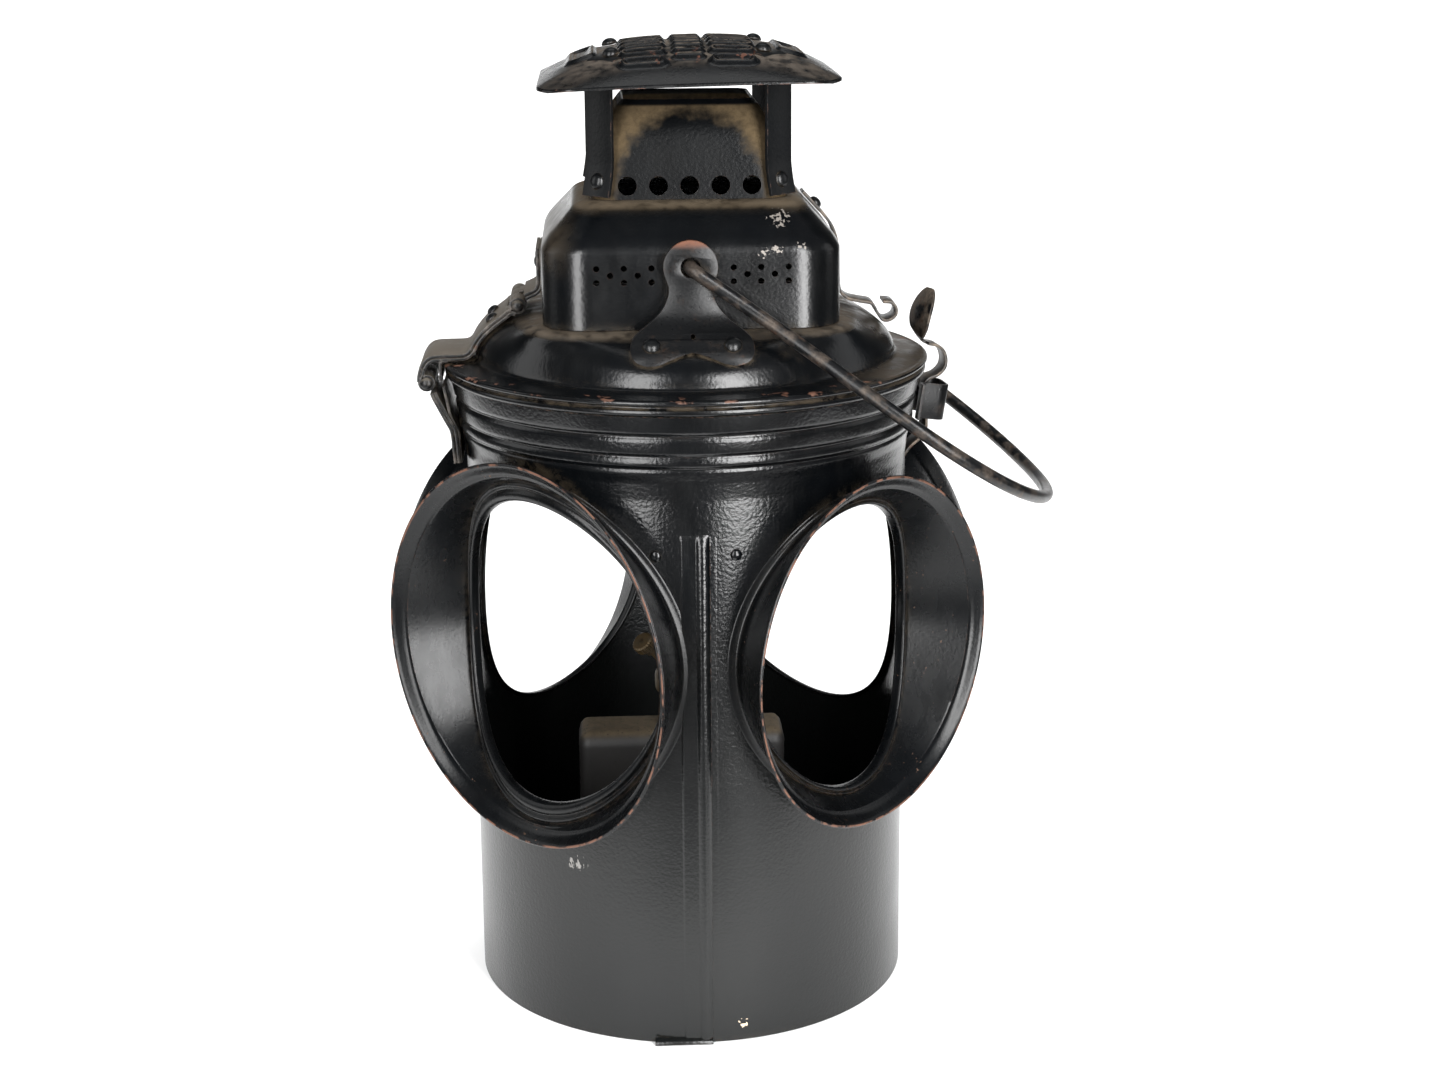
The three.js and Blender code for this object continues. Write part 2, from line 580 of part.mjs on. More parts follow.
// ---------- the assembly ----------
const lamp = new THREE.Group();
const ventilator = new THREE.Group();
ventilator.position.x = VENT_X;
lamp.add(ventilator);

lamp.add(mesh("body_shell", bodyShell(), BODY_PAINT));
lamp.add(...HOODS.map(hood));
lamp.add(mesh("lock_seam", lockSeam(), BODY_PAINT));
lamp.add(mesh("body_rivet_left", bodyRivet(-15.2), BODY_PAINT));
lamp.add(mesh("body_rivet_right", bodyRivet(15.2), BODY_PAINT));
lamp.add(mesh("floor_plate", floorPlate(), BODY_PAINT));
lamp.add(mesh("body_hinge_leaf", bodyHingeLeaf(), FITTING_PAINT));
lamp.add(mesh("lid_hinge_pin", hingePin(LID_HINGE), FITTING_PAINT));
lamp.add(mesh("latch_keeper", latchKeeper(), FITTING_PAINT));

lamp.add(mesh("lid_shell", lidShell(), LID_PAINT));
lamp.add(mesh("lid_hinge_strap", lidHingeStrap(), FITTING_PAINT));
lamp.add(mesh("vent_hinge_pin", hingePin(VENT_HINGE), FITTING_PAINT));
for (const [side, y] of [["front", -9], ["rear", 9]]) {
  const facing = new THREE.Vector3(-0.62, 0, 0.78);
  const head = placeFacing(rivetHead(2.5, 1.5), [-77.5, y, 278.5], facing);
  lamp.add(mesh(`strap_rivet_${side}`, head, FITTING_PAINT));
}
for (const [end, turn] of [["front", 0], ["rear", Math.PI]]) {
  const ear = mesh(`bail_ear_${end}`, bailEar(), FITTING_PAINT);
  ear.rotation.z = turn;
  lamp.add(ear);
  for (const [side, sign] of [["left", -1], ["right", 1]]) {
    const rivet = mesh(`ear_rivet_${end}_${side}`, earRivet(end === "front" ? sign : -sign), FITTING_PAINT);
    rivet.rotation.z = turn;
    lamp.add(rivet);
  }
}

const bail = mesh("bail", bailRod(), FITTING_PAINT);
bail.position.z = BAIL_Z;
lamp.add(bail);
const latch = mesh("lid_latch", strip(smooth(latchLine, 32), SPRING, 12), FITTING_PAINT);
latch.rotation.z = LATCH_TURN;
lamp.add(latch);

ventilator.add(mesh("vent_dome", ventDome(), LID_PAINT));
ventilator.add(mesh("chimney", chimney(), LID_PAINT));
ventilator.add(mesh("rain_cap", cap(), LID_PAINT));
for (const [end, ySign] of [["front", -1], ["rear", 1]]) {
  for (const [side, xSign] of [["left", -1], ["right", 1]]) {
    const [x, y] = [xSign * CAP_RIVET, ySign * CAP_RIVET];
    ventilator.add(mesh(`cap_leg_${end}_${side}`, capLeg(x, y), FITTING_PAINT));
    ventilator.add(mesh(`cap_rivet_${end}_${side}`, capRivet(x, y), FITTING_PAINT));
    ventilator.add(mesh(`leg_rivet_${end}_${side}`, legRivet(x, y), FITTING_PAINT));
  }
}
lamp.add(mesh("vent_hinge_strap", ventHingeStrap(), FITTING_PAINT));
for (const [side, y] of [["front", -9], ["rear", 9]]) {
  const wall = -VENT_HALF + VENT_X - GAP - 1.9;
  const head = placeFacing(rivetHead(2.5, 1.5), [wall, y, 300.5], new THREE.Vector3(-1, 0, 0));
  lamp.add(mesh(`vent_strap_rivet_${side}`, head, FITTING_PAINT));
}
lamp.add(mesh("vent_catch_spring", strip(smooth(catchLine, 30), SPRING, 11), FITTING_PAINT));
lamp.add(mesh("vent_catch_rivet", catchRivet(), FITTING_PAINT));

lamp.add(mesh("fount", fount(), DUSTY_TIN));
lamp.add(mesh("burner", burner(), BRASS));
lamp.add(mesh("wick_wheel", wickWheel(), BRASS));
lamp.add(mesh("wick", wick(), COTTON));

export default lamp;
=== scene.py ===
"""The looks of a four-way railway signal lamp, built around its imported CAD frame.

Blender works in metres. Shapes here are worked out in millimetres, in the row frame: the origin is under the
floor plate on the body's axis, +Z is up and -Y is the front. show() turns them into metres.
"""

import json
import math

import bmesh
import bpy
import numpy as np
from mathutils import Matrix, Quaternion, Vector


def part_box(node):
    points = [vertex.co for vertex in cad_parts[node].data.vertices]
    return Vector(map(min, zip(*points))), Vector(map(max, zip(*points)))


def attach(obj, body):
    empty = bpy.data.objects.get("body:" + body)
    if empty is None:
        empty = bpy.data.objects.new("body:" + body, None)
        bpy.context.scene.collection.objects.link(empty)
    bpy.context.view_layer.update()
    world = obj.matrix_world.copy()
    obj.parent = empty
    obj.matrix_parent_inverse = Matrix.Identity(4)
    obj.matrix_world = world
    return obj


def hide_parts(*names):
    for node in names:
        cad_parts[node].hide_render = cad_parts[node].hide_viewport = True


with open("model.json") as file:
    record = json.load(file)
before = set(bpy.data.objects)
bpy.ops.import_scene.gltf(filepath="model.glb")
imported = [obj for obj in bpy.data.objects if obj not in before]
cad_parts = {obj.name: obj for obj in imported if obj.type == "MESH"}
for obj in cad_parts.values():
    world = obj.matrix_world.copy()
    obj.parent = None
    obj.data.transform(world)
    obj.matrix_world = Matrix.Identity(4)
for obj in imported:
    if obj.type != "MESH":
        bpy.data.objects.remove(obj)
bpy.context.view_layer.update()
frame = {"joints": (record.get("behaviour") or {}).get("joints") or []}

MM = 0.001
TAU = 2 * math.pi


def box_mm(node):
    """A CAD node's lowest and highest corners, in millimetres."""
    low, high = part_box(node)
    return low / MM, high / MM


def joint_place(name):
    """Where a CAD hinge turns, in millimetres."""
    found = next(j for j in frame["joints"] if j["name"] == name)
    return Vector(found["pos_m"]) / MM


# ---------- driving dimensions, in millimetres ----------
BODY_R = box_mm("floor_plate")[1].x + 1.5
BODY_TOP = box_mm("body_shell")[1].z
SHEET = 1.0
RIM_R = box_mm("lid_shell")[1].x
RIM_Z = box_mm("lid_shell")[0].z
PLATEAU_Z = box_mm("lid_shell")[1].z
VENT_LOW, VENT_HIGH = box_mm("vent_dome")
VENT_X = (VENT_LOW.x + VENT_HIGH.x) / 2
VENT_HALF = VENT_HIGH.y
CHIMNEY_LOW, CHIMNEY_HIGH = box_mm("chimney")
CAP_HALF = box_mm("rain_cap")[1].y
CAP_LEAN = -1.3
CAP_RISE = 14.5
CAP_EDGE_Z = 372.4
CAP_EMBOSS = 1.8
CAP_RIVET = 29
HOOD_Z = 155
BAIL_Z = joint_place("bail_pivot").z
BAIL_WIRE_R = 2.6
BAIL_DROOP = math.radians(34.5)
LID_HINGE = joint_place("lid_hinge")
VENT_HINGE = joint_place("ventilator_hinge")
HINGE_HALF = 18
KNUCKLE_R = 3.4
PIN_R = 1.35
DRAUGHT_Z = 301.7
DRAUGHT_FIRST = 15.5
DRAUGHT_PITCH = 5.2
DRAUGHT_ROW = 2.65
DRAUGHT_COLUMNS = 5
FLUE_HOLE_Z = 332.8
FLUE_HOLE_PITCH = 11.9
FLUE_HOLE_R = 3.6
LATCH_TURN = 8
LEAF_WIDTH = 16.4
LEAF_TWIST = 13
KEEPER_Z = 239
COLLAR_SLOPE = 9

# A hood's section, as [distance from the lamp's axis, radius round the lens axis], from lip to wall.
LARGE_HOOD = {
    "lip": (95.7, 76.4),
    "crease": (92.4, 72.2),
    "wall": (91.0, 70.0),
    "slope": 0.464,
    "opening": (54.0, 60.5),
}
SMALL_HOOD = {
    "lip": (100.7, 69.6),
    "crease": (97.3, 65.6),
    "wall": (95.8, 63.5),
    "slope": 0.532,
    "opening": (47.3, 56.7),
}
HOODS = {
    "front_left": (-135, LARGE_HOOD),
    "front_right": (-45, SMALL_HOOD),
    "rear_right": (45, LARGE_HOOD),
    "rear_left": (135, SMALL_HOOD),
}


# ---------- lines ----------
def rounded(points, radius, steps=4, closed=False):
    """The line through the points with each corner rounded off, over at most radius along its sides."""
    points = [np.array(p, float) for p in points]
    count = len(points)
    line = []
    for i, corner in enumerate(points):
        if not closed and i in (0, count - 1):
            line.append(corner)
            continue
        before, after = points[i - 1] - corner, points[(i + 1) % count] - corner
        reach = [min(radius, 0.48 * np.linalg.norm(side)) for side in (before, after)]
        start = corner + before / np.linalg.norm(before) * reach[0]
        end = corner + after / np.linalg.norm(after) * reach[1]
        for t in np.linspace(0, 1, steps + 1):
            line.append((1 - t) ** 2 * start + 2 * t * (1 - t) * corner + t**2 * end)
    return np.array(line)


def spline(points, steps=6, closed=False):
    """A smooth line through the points, with so many steps between each two."""
    points = np.array(points, float)
    count = len(points)
    line = []
    for i in range(count if closed else count - 1):
        around = [i - 1, i, i + 1, i + 2]
        picks = [k % count if closed else min(max(k, 0), count - 1) for k in around]
        p0, p1, p2, p3 = points[picks]
        for t in np.arange(steps) / steps:
            cubic = -p0 + 3 * p1 - 3 * p2 + p3
            square = 2 * p0 - 5 * p1 + 4 * p2 - p3
            line.append(0.5 * (2 * p1 + (p2 - p0) * t + square * t**2 + cubic * t**3))
    if not closed:
        line.append(points[-1])
    return np.array(line)


def sidestep(line, distance):
    """An open flat line moved sideways to its left, by one distance or by one for each point."""
    line = np.array(line, float)
    ahead = np.vstack([line[1:], line[-1:]]) - np.vstack([line[:1], line[:-1]])
    ahead /= np.maximum(np.linalg.norm(ahead, axis=1), 1e-9)[:, None]
    left = np.stack([-ahead[:, 1], ahead[:, 0]], axis=1)
    return line + left * np.reshape(distance, (-1, 1))


def sheet(line, thickness=SHEET):
    """A closed outline: the line, and back along the sheet's other face, with eased edges."""
    other = sidestep(line, thickness)
    middle = sidestep(line, thickness / 2)
    edges = []
    for end, direction in ((-1, line[-1] - line[-2]), (0, line[0] - line[1])):
        ease = min(0.15, 0.25 * thickness / np.linalg.norm(direction))
        edges.append(middle[end] + direction * ease)
    return np.vstack([line, [edges[0]], other[::-1], [edges[1]]])


def square_reach(angle, corner):
    """How far a square of half width 1 with rounded corners reaches in a direction."""
    low, high = sorted((abs(math.cos(angle)), abs(math.sin(angle))))
    centre = 1 - corner
    if low / high <= centre:
        return 1 / high
    return centre * (low + high) + math.sqrt(max(corner**2 - centre**2 * (high - low) ** 2, 0))


# ---------- skins: each gives points and faces ----------
def skin(rows, close_rows=True, close_ring=True, caps=False):
    """Faces between rows of equal length. close_rows joins the last row to the first."""
    rows = np.array(rows, float)
    count, width = rows.shape[:2]
    faces = []
    for i in range(count if close_rows else count - 1):
        following = (i + 1) % count
        for k in range(width if close_ring else width - 1):
            beside = (k + 1) % width
            near, far = i * width, following * width
            faces.append((near + k, near + beside, far + beside, far + k))
    if caps:
        faces.append(tuple(range(width))[::-1])
        faces.append(tuple(range((count - 1) * width, count * width)))
    return rows.reshape(-1, 3), faces


def turned(outline, segments=128):
    """A turned skin about Z from a closed outline of (radius, z)."""
    angles = np.arange(segments) * TAU / segments
    rows = [[(r * math.cos(a), r * math.sin(a), z) for a in angles] for r, z in outline]
    return skin(rows)


def turned_solid(profile, segments=24):
    """A turned solid about Z whose profile runs from the axis out and back to it."""
    angles = np.arange(segments) * TAU / segments
    rows = [[(r * math.cos(a), r * math.sin(a), z) for a in angles] for r, z in profile if r > 0]
    return skin(rows, close_rows=False, caps=True)


def square_ring(half, z, squareness, corner, segments):
    """A level ring between a circle, at squareness 0, and a rounded square, at 1."""
    ring = []
    for k in range(segments):
        angle = k * TAU / segments
        reach = half * (1 + squareness * (square_reach(angle, corner) - 1))
        ring.append((reach * math.cos(angle), reach * math.sin(angle), z))
    return ring


def square_shell(line, corner, segments=160, thickness=SHEET):
    """A sheet shell between round and square from a line of (half width, z, squareness)."""
    line = np.array(line, float)
    outline = sheet(line[:, :2], thickness)
    squareness = np.concatenate([line[:, 2], line[-1:, 2], line[::-1, 2], line[:1, 2]])
    rows = [square_ring(half, z, s, corner, segments) for (half, z), s in zip(outline, squareness)]
    return skin(rows)


def round_bar(width, thickness, ease):
    """The cross-section of a strip, as (across, through), with eased edges."""
    half, deep = width / 2, thickness / 2
    corners = [(-half, -deep), (half, -deep), (half, deep), (-half, deep)]
    return rounded(corners, ease, steps=2, closed=True)


def ribbon(path, width, thickness, middle_y=0.0, ease=0.35):
    """A strip bent along a path of (x, z). Its width is one number or one for each point of the path."""
    path = np.array(path, float)
    widths = np.broadcast_to(np.array(width, float), (len(path),))
    centre = sidestep(path, 0)
    normal = sidestep(path, 1) - centre
    rows = []
    for (x, z), (nx, nz), across in zip(centre, normal, widths):
        section = round_bar(across, thickness, ease)
        rows.append([(x + nx * deep, middle_y + y, z + nz * deep) for y, deep in section])
    return skin(rows, close_rows=False, caps=True)


def tube(path, radius, segments=20):
    """A round bar along a path of points, with slightly domed ends."""
    path = np.array(path, float)
    ahead = np.gradient(path, axis=0)
    ahead /= np.linalg.norm(ahead, axis=1)[:, None]
    side = np.cross(ahead[0], (0.3, 0.2, 0.93))
    rows = []
    radii = np.full(len(path), float(radius))
    radii[0] = radii[-1] = radius * 0.8
    for point, forward, size in zip(path, ahead, radii):
        side = side - forward * side.dot(forward)
        side /= np.linalg.norm(side)
        up = np.cross(forward, side)
        turns = [k * TAU / segments for k in range(segments)]
        rows.append([point + size * (math.cos(a) * side + math.sin(a) * up) for a in turns])
    return skin(rows, close_rows=False, caps=True)


def rod(start, end, radius, segments=24):
    """A straight round bar with eased ends."""
    start, end = np.array(start, float), np.array(end, float)
    along = (end - start) / np.linalg.norm(end - start)
    ease = min(0.3, radius * 0.25)
    path = [start, start + along * ease, end - along * ease, end]
    return tube(path, radius, segments)


def placed(shape, place=(0, 0, 0), facing=None, turn=0.0):
    """A shape moved so that its +Z faces a direction, or turned about Z in degrees."""
    points, faces = shape
    if facing is not None:
        turning = Vector((0, 0, 1)).rotation_difference(Vector(facing)).to_matrix()
        points = points @ np.array(turning).T
    if turn:
        c, s = math.cos(math.radians(turn)), math.sin(math.radians(turn))
        points = points @ np.array([(c, s, 0), (-s, c, 0), (0, 0, 1)])
    return points + np.array(place, float), faces


def leaned(points, x, z, degrees):
    """Points turned about a line along Y through (x, z), so that their tops lean to +X."""
    c, s = math.cos(math.radians(degrees)), math.sin(math.radians(degrees))
    across, up = points[:, 0] - x, points[:, 2] - z
    return np.stack([x + across * c + up * s, points[:, 1], z + up * c - across * s], axis=1)


def together(*shapes):
    """Several shapes as one."""
    points, faces, offset = [], [], 0
    for some_points, some_faces in shapes:
        points.append(some_points)
        faces += [tuple(i + offset for i in face) for face in some_faces]
        offset += len(some_points)
    return np.vstack(points), faces


# ---------- objects ----------
def raw_object(name, shape):
    """An object in metres from a shape in millimetres, with its faces turned outwards."""
    points, faces = shape
    mesh = bpy.data.meshes.new(name)
    mesh.from_pydata((np.array(points) * MM).tolist(), [], faces)
    made = bmesh.new()
    made.from_mesh(mesh)
    bmesh.ops.recalc_face_normals(made, faces=made.faces)
    made.to_mesh(mesh)
    made.free()
    thing = bpy.data.objects.new(name, mesh)
    bpy.context.scene.collection.objects.link(thing)
    return thing


def settle(thing):
    """Makes what the modifiers show the object's own mesh."""
    graph = bpy.context.evaluated_depsgraph_get()
    mesh = bpy.data.meshes.new_from_object(thing.evaluated_get(graph))
    thing.modifiers.clear()
    thing.data = mesh


def boolean(thing, operation, *shapes):
    """Cuts shapes from an object, or keeps only what lies in them."""
    tools = [raw_object("tool", shape) for shape in shapes]
    for tool in tools:
        step = thing.modifiers.new("boolean", "BOOLEAN")
        step.operation = operation
        step.solver = "EXACT"
        step.object = tool
    settle(thing)
    for tool in tools:
        bpy.data.objects.remove(tool)


def bevel(thing, width, angle):
    """Eases every edge that bends by more than an angle in degrees."""
    step = thing.modifiers.new("bevel", "BEVEL")
    step.width = width * MM
    step.segments = 2
    step.limit_method = "ANGLE"
    step.angle_limit = math.radians(angle)
    step.harden_normals = False
    settle(thing)


def dress(thing, body, material, nodes, sharp=38):
    """Gives a finished object its material, its CAD body and the CAD nodes that it stands for."""
    thing.data.materials.clear()
    thing.data.materials.append(material)
    thing.data.shade_smooth()
    thing.data.set_sharp_from_angle(angle=math.radians(sharp))
    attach(thing, body)
    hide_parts(*nodes)


def show(name, shape, body, material, sharp=38):
    """Makes a visible piece that stands for the CAD node of the same name."""
    dress(raw_object("look_" + name, shape), body, material, [name], sharp)


# ---------- materials ----------
class Nodes:
    """Short names for the shader nodes that the materials share."""

    def __init__(self, name):
        self.material = bpy.data.materials.new(name)
        self.material.use_nodes = True
        self.tree = self.material.node_tree
        self.shader = self.tree.nodes["Principled BSDF"]
        self.place = self.tree.nodes.new("ShaderNodeTexCoord").outputs["Object"]

    def link(self, value, socket):
        """Feeds a socket from another node, or sets it to a plain value."""
        if hasattr(value, "is_output"):
            self.tree.links.new(value, socket)
        else:
            socket.default_value = value

    def math(self, operation, a, b=0.0, clamp=False):
        node = self.tree.nodes.new("ShaderNodeMath")
        node.operation = operation
        node.use_clamp = clamp
        self.link(a, node.inputs[0])
        self.link(b, node.inputs[1])
        return node.outputs[0]

    def noise(self, size_mm, detail=4.0, rough=0.55, stretch=(1, 1, 1)):
        """A noise whose features are about so many millimetres wide, from 0 to 1."""
        mapping = self.tree.nodes.new("ShaderNodeMapping")
        mapping.inputs["Scale"].default_value = stretch
        self.link(self.place, mapping.inputs["Vector"])
        node = self.tree.nodes.new("ShaderNodeTexNoise")
        node.inputs["Scale"].default_value = 1 / (size_mm * MM)
        node.inputs["Detail"].default_value = detail
        node.inputs["Roughness"].default_value = rough
        self.link(mapping.outputs[0], node.inputs["Vector"])
        return node.outputs["Fac"]

    def step(self, value, low, high, to_low=0.0, to_high=1.0):
        """A smooth step of value between low and high."""
        node = self.tree.nodes.new("ShaderNodeMapRange")
        node.interpolation_type = "SMOOTHSTEP"
        for socket, number in zip(("From Min", "From Max", "To Min", "To Max"), (low, high, to_low, to_high)):
            node.inputs[socket].default_value = number
        self.link(value, node.inputs["Value"])
        return node.outputs[0]

    def axis(self, letter):
        """The rest-frame coordinate of a point, in millimetres."""
        node = self.tree.nodes.new("ShaderNodeSeparateXYZ")
        self.link(self.place, node.inputs[0])
        return self.math("MULTIPLY", node.outputs[letter], 1 / MM)

    def facing_up(self):
        """1 on faces that look up, 0 on walls."""
        geometry = self.tree.nodes.new("ShaderNodeNewGeometry")
        node = self.tree.nodes.new("ShaderNodeSeparateXYZ")
        self.link(geometry.outputs["Normal"], node.inputs[0])
        return node.outputs["Z"]

    def crevice(self, reach_mm):
        """1 deep in a corner, 0 on open faces."""
        node = self.tree.nodes.new("ShaderNodeAmbientOcclusion")
        node.samples = 3
        node.inputs["Distance"].default_value = reach_mm * MM
        return self.math("SUBTRACT", 1.0, node.outputs["AO"])

    def edges(self, reach_mm):
        """1 along sharp edges, 0 on flat faces."""
        node = self.tree.nodes.new("ShaderNodeBevel")
        node.samples = 3
        node.inputs["Radius"].default_value = reach_mm * MM
        geometry = self.tree.nodes.new("ShaderNodeNewGeometry")
        dot = self.tree.nodes.new("ShaderNodeVectorMath")
        dot.operation = "DOT_PRODUCT"
        self.link(node.outputs[0], dot.inputs[0])
        self.link(geometry.outputs["Normal"], dot.inputs[1])
        return self.step(dot.outputs["Value"], 0.995, 0.9)

    def flecks(self, centre, radius_mm, grain_mm, stretch=(1, 1, 1)):
        """1 on the small broken flecks scattered round a place, thinning out to its radius."""
        node = self.tree.nodes.new("ShaderNodeVectorMath")
        node.operation = "DISTANCE"
        self.link(self.place, node.inputs[0])
        node.inputs[1].default_value = [c * MM for c in centre]
        share = self.math("MULTIPLY", node.outputs["Value"], 1 / (radius_mm * MM), clamp=True)
        nearness = self.math("MULTIPLY", self.math("SUBTRACT", 1.0, share), 0.22)
        grain = self.math("ADD", self.noise(grain_mm, 2, 0.5, stretch), nearness)
        return self.both(self.step(grain, 0.66, 0.69), self.step(share, 0.98, 0.8))

    def scaled(self, value, factor):
        return self.math("MULTIPLY", value, factor)

    def both(self, a, b):
        return self.math("MULTIPLY", a, b, clamp=True)

    def either(self, a, b):
        return self.math("MAXIMUM", a, b)

    def mix(self, factor, a, b):
        node = self.tree.nodes.new("ShaderNodeMix")
        node.data_type = "RGBA"
        self.link(factor, node.inputs["Factor"])
        for value, socket in ((a, node.inputs[6]), (b, node.inputs[7])):
            self.link(value if hasattr(value, "is_output") else (*value, 1.0), socket)
        return node.outputs[2]

    def mix_value(self, factor, a, b):
        node = self.tree.nodes.new("ShaderNodeMix")
        node.data_type = "FLOAT"
        self.link(factor, node.inputs["Factor"])
        self.link(a, node.inputs[2])
        self.link(b, node.inputs[3])
        return node.outputs[0]

    def bump(self, height, depth_mm, strength=1.0, under=None):
        """A normal for a rough surface, laid over another normal if one is given."""
        node = self.tree.nodes.new("ShaderNodeBump")
        node.inputs["Distance"].default_value = depth_mm * MM
        node.inputs["Strength"].default_value = strength
        self.link(height, node.inputs["Height"])
        if under is not None:
            self.link(under, node.inputs["Normal"])
        return node.outputs[0]

    def finish(self, color, roughness, metallic=0.0, normal=None, specular=0.5):
        """Feeds the shader, and gives the finished material."""
        self.link(color, self.shader.inputs["Base Color"])
        self.link(roughness, self.shader.inputs["Roughness"])
        self.link(metallic, self.shader.inputs["Metallic"])
        self.shader.inputs["Specular IOR Level"].default_value = specular
        if normal is not None:
            self.link(normal, self.shader.inputs["Normal"])
        return self.material


BLACK = (0.0013, 0.0017, 0.0022)
SOOT = (0.0011, 0.0012, 0.0013)
GREY_FILM = (0.0085, 0.0092, 0.0092)
DUST = (0.105, 0.078, 0.048)
RUST = (0.115, 0.038, 0.018)
COPPER = (0.20, 0.115, 0.085)
BARE_STEEL = (0.21, 0.19, 0.17)
CREAM = (0.62, 0.50, 0.36)


def old_paint(name, film=0.25, dust=0.35, wrinkle=0.5, rough=0.3, wear=0.6, shine=0.45, extra=None):
    """Satin black paint on sheet steel: wrinkled, filmed with grey, dusty in corners, worn on its edges."""
    n = Nodes(name)
    cloud = n.noise(38, 5)
    fine = n.noise(1.3, 2, 0.5)
    smear = n.noise(9, 4, 0.6, stretch=(1, 1, 0.35))
    color = n.mix(n.step(cloud, 0.35, 0.75), BLACK, SOOT)
    film_mask = n.both(n.step(smear, 0.35, 0.8), n.step(cloud, 0.3, 0.7))
    color = n.mix(n.scaled(film_mask, film), color, GREY_FILM)
    corner = n.step(n.crevice(7), 0.3, 0.85)
    dust_mask = n.both(corner, n.step(n.noise(4, 5), 0.34, 0.66))
    dust_mask = n.math("MULTIPLY", dust_mask, dust, clamp=True)
    color = n.mix(dust_mask, color, DUST)
    worn = n.both(n.edges(0.5), n.step(n.noise(2.4, 4), 0.48, 0.62))
    worn = n.math("MULTIPLY", worn, wear, clamp=True)
    color = n.mix(worn, color, COPPER)
    roughness = n.step(smear, 0.2, 0.85, rough - 0.03, rough + 0.06)
    roughness = n.mix_value(dust_mask, roughness, 0.9)
    metallic = n.scaled(worn, 0.7)
    normal = n.bump(n.noise(70, 2), 1.2, 0.5)
    normal = n.bump(fine, 0.16, wrinkle, under=normal)
    if extra:
        color, roughness, metallic = extra(n, (color, roughness, metallic))
    return n.finish(color, roughness, metallic, normal, shine)


def laid_on(n, look, mask, tint, rough, metal=0.0):
    """Adds a patch to a look, which is a material's colour, roughness and metal."""
    color, roughness, metallic = look
    return n.mix(mask, color, tint), n.mix_value(mask, roughness, rough), n.mix_value(mask, metallic, metal)


def body_extra(n, look):
    """The lower body is a dull greenish grey, lighter towards the bottom: partly a real film and partly
    painted reflection of the floor, with one scraped patch and a few cream specks.
    """
    # Greenish grey that grows towards the bottom: part film, part painted floor reflection.
    low = n.step(n.axis("Z"), 190, 60)
    film = n.both(low, n.step(n.noise(26, 4), 0.2, 0.7, 0.55, 1.0))
    color, roughness, metallic = look
    color = n.mix(n.scaled(film, 0.8), color, (0.0046, 0.0052, 0.0049))
    look = color, n.mix_value(film, roughness, 0.27), metallic
    scrape = n.flecks((-47, -75.5, 72), 5, 1.5, stretch=(1, 1, 0.4))
    look = laid_on(n, look, scrape, (0.22, 0.21, 0.20), 0.5, 0.2)
    specks = n.flecks((17, -87.5, 7), 3.2, 1.5)
    return laid_on(n, look, specks, CREAM, 0.7)


def vent_extra(n, look):
    """Dust on the ventilator's flat top and left side, and bare flecks on its right shoulder."""
    top = n.both(n.step(n.facing_up(), 0.6, 0.95), n.step(n.axis("Z"), 322, 327))
    left = n.both(n.step(n.axis("X"), -40, -57), n.step(n.axis("Z"), 296, 318))
    dusty = n.either(n.scaled(top, 0.75), n.scaled(left, 0.3))
    dusty = n.both(dusty, n.step(n.noise(5, 5), 0.25, 0.6, 0.35, 1.0))
    look = laid_on(n, look, dusty, DUST, 0.9)
    chips = (((34, -48, 321.5), 5.5), ((28, -57, 309.5), 2.6), ((33, -57, 311), 2.8), ((42, -57, 312), 2.8))
    for place, size in chips:
        look = laid_on(n, look, n.flecks(place, size, 1.3), BARE_STEEL, 0.55, 0.4)
    return look


def chimney_extra(n, look):
    """The chimney's walls are brown round a dark arch low on each wall: the brown is partly dust and partly
    painted light where the upper walls slope up.
    """
    side = n.math("ABSOLUTE", n.math("SUBTRACT", n.axis("X"), VENT_X))
    across = n.math("MINIMUM", side, n.math("ABSOLUTE", n.axis("Y")))
    wide = n.math("POWER", n.scaled(across, 1 / 31), 2.0)
    above_foot = n.math("SUBTRACT", n.axis("Z"), 326)
    tall = n.math("POWER", n.scaled(above_foot, 1 / 36), 2.0)
    arch = n.math("SQRT", n.math("ADD", wide, tall))
    arch = n.math("ADD", arch, n.scaled(n.noise(6, 5), 0.3))
    under_edge = n.step(n.axis("Z"), CHIMNEY_HIGH.z - 1.6, CHIMNEY_HIGH.z - 2.8)
    # Brown outside the arch: partly dust, partly painted light on the upward-sloping upper walls; inside the
    # arch the black paint stays.
    dust_and_light = n.both(n.step(arch, 1.02, 1.22), under_edge)
    tint = n.mix(n.noise(2.2, 4), (0.030, 0.021, 0.011), (0.105, 0.075, 0.041))
    return laid_on(n, look, dust_and_light, tint, 0.92)


def lid_extra(n, look):
    """Dust lies where the ventilator meets the lid, on the right flange, and rust on the rim."""
    high = n.step(n.axis("Z"), PLATEAU_Z - 3.0, PLATEAU_Z - 0.6)
    right = n.both(n.step(n.axis("X"), 50, 84), n.step(n.facing_up(), 0.5, 0.95))
    dusty = n.either(n.scaled(high, 0.7), n.scaled(right, 0.4))
    dusty = n.both(dusty, n.step(n.noise(6, 5), 0.25, 0.62, 0.15, 1.0))
    look = laid_on(n, look, dusty, (0.07, 0.054, 0.037), 0.85)
    above = n.step(n.axis("Z"), RIM_Z + 5.0, RIM_Z + 5.6)
    below = n.step(n.axis("Z"), RIM_Z + 6.6, RIM_Z + 6.2)
    rim = n.both(n.both(above, below), n.step(n.noise(9, 4), 0.58, 0.66))
    return laid_on(n, look, n.scaled(rim, 0.6), (0.16, 0.075, 0.048), 0.7, 0.1)


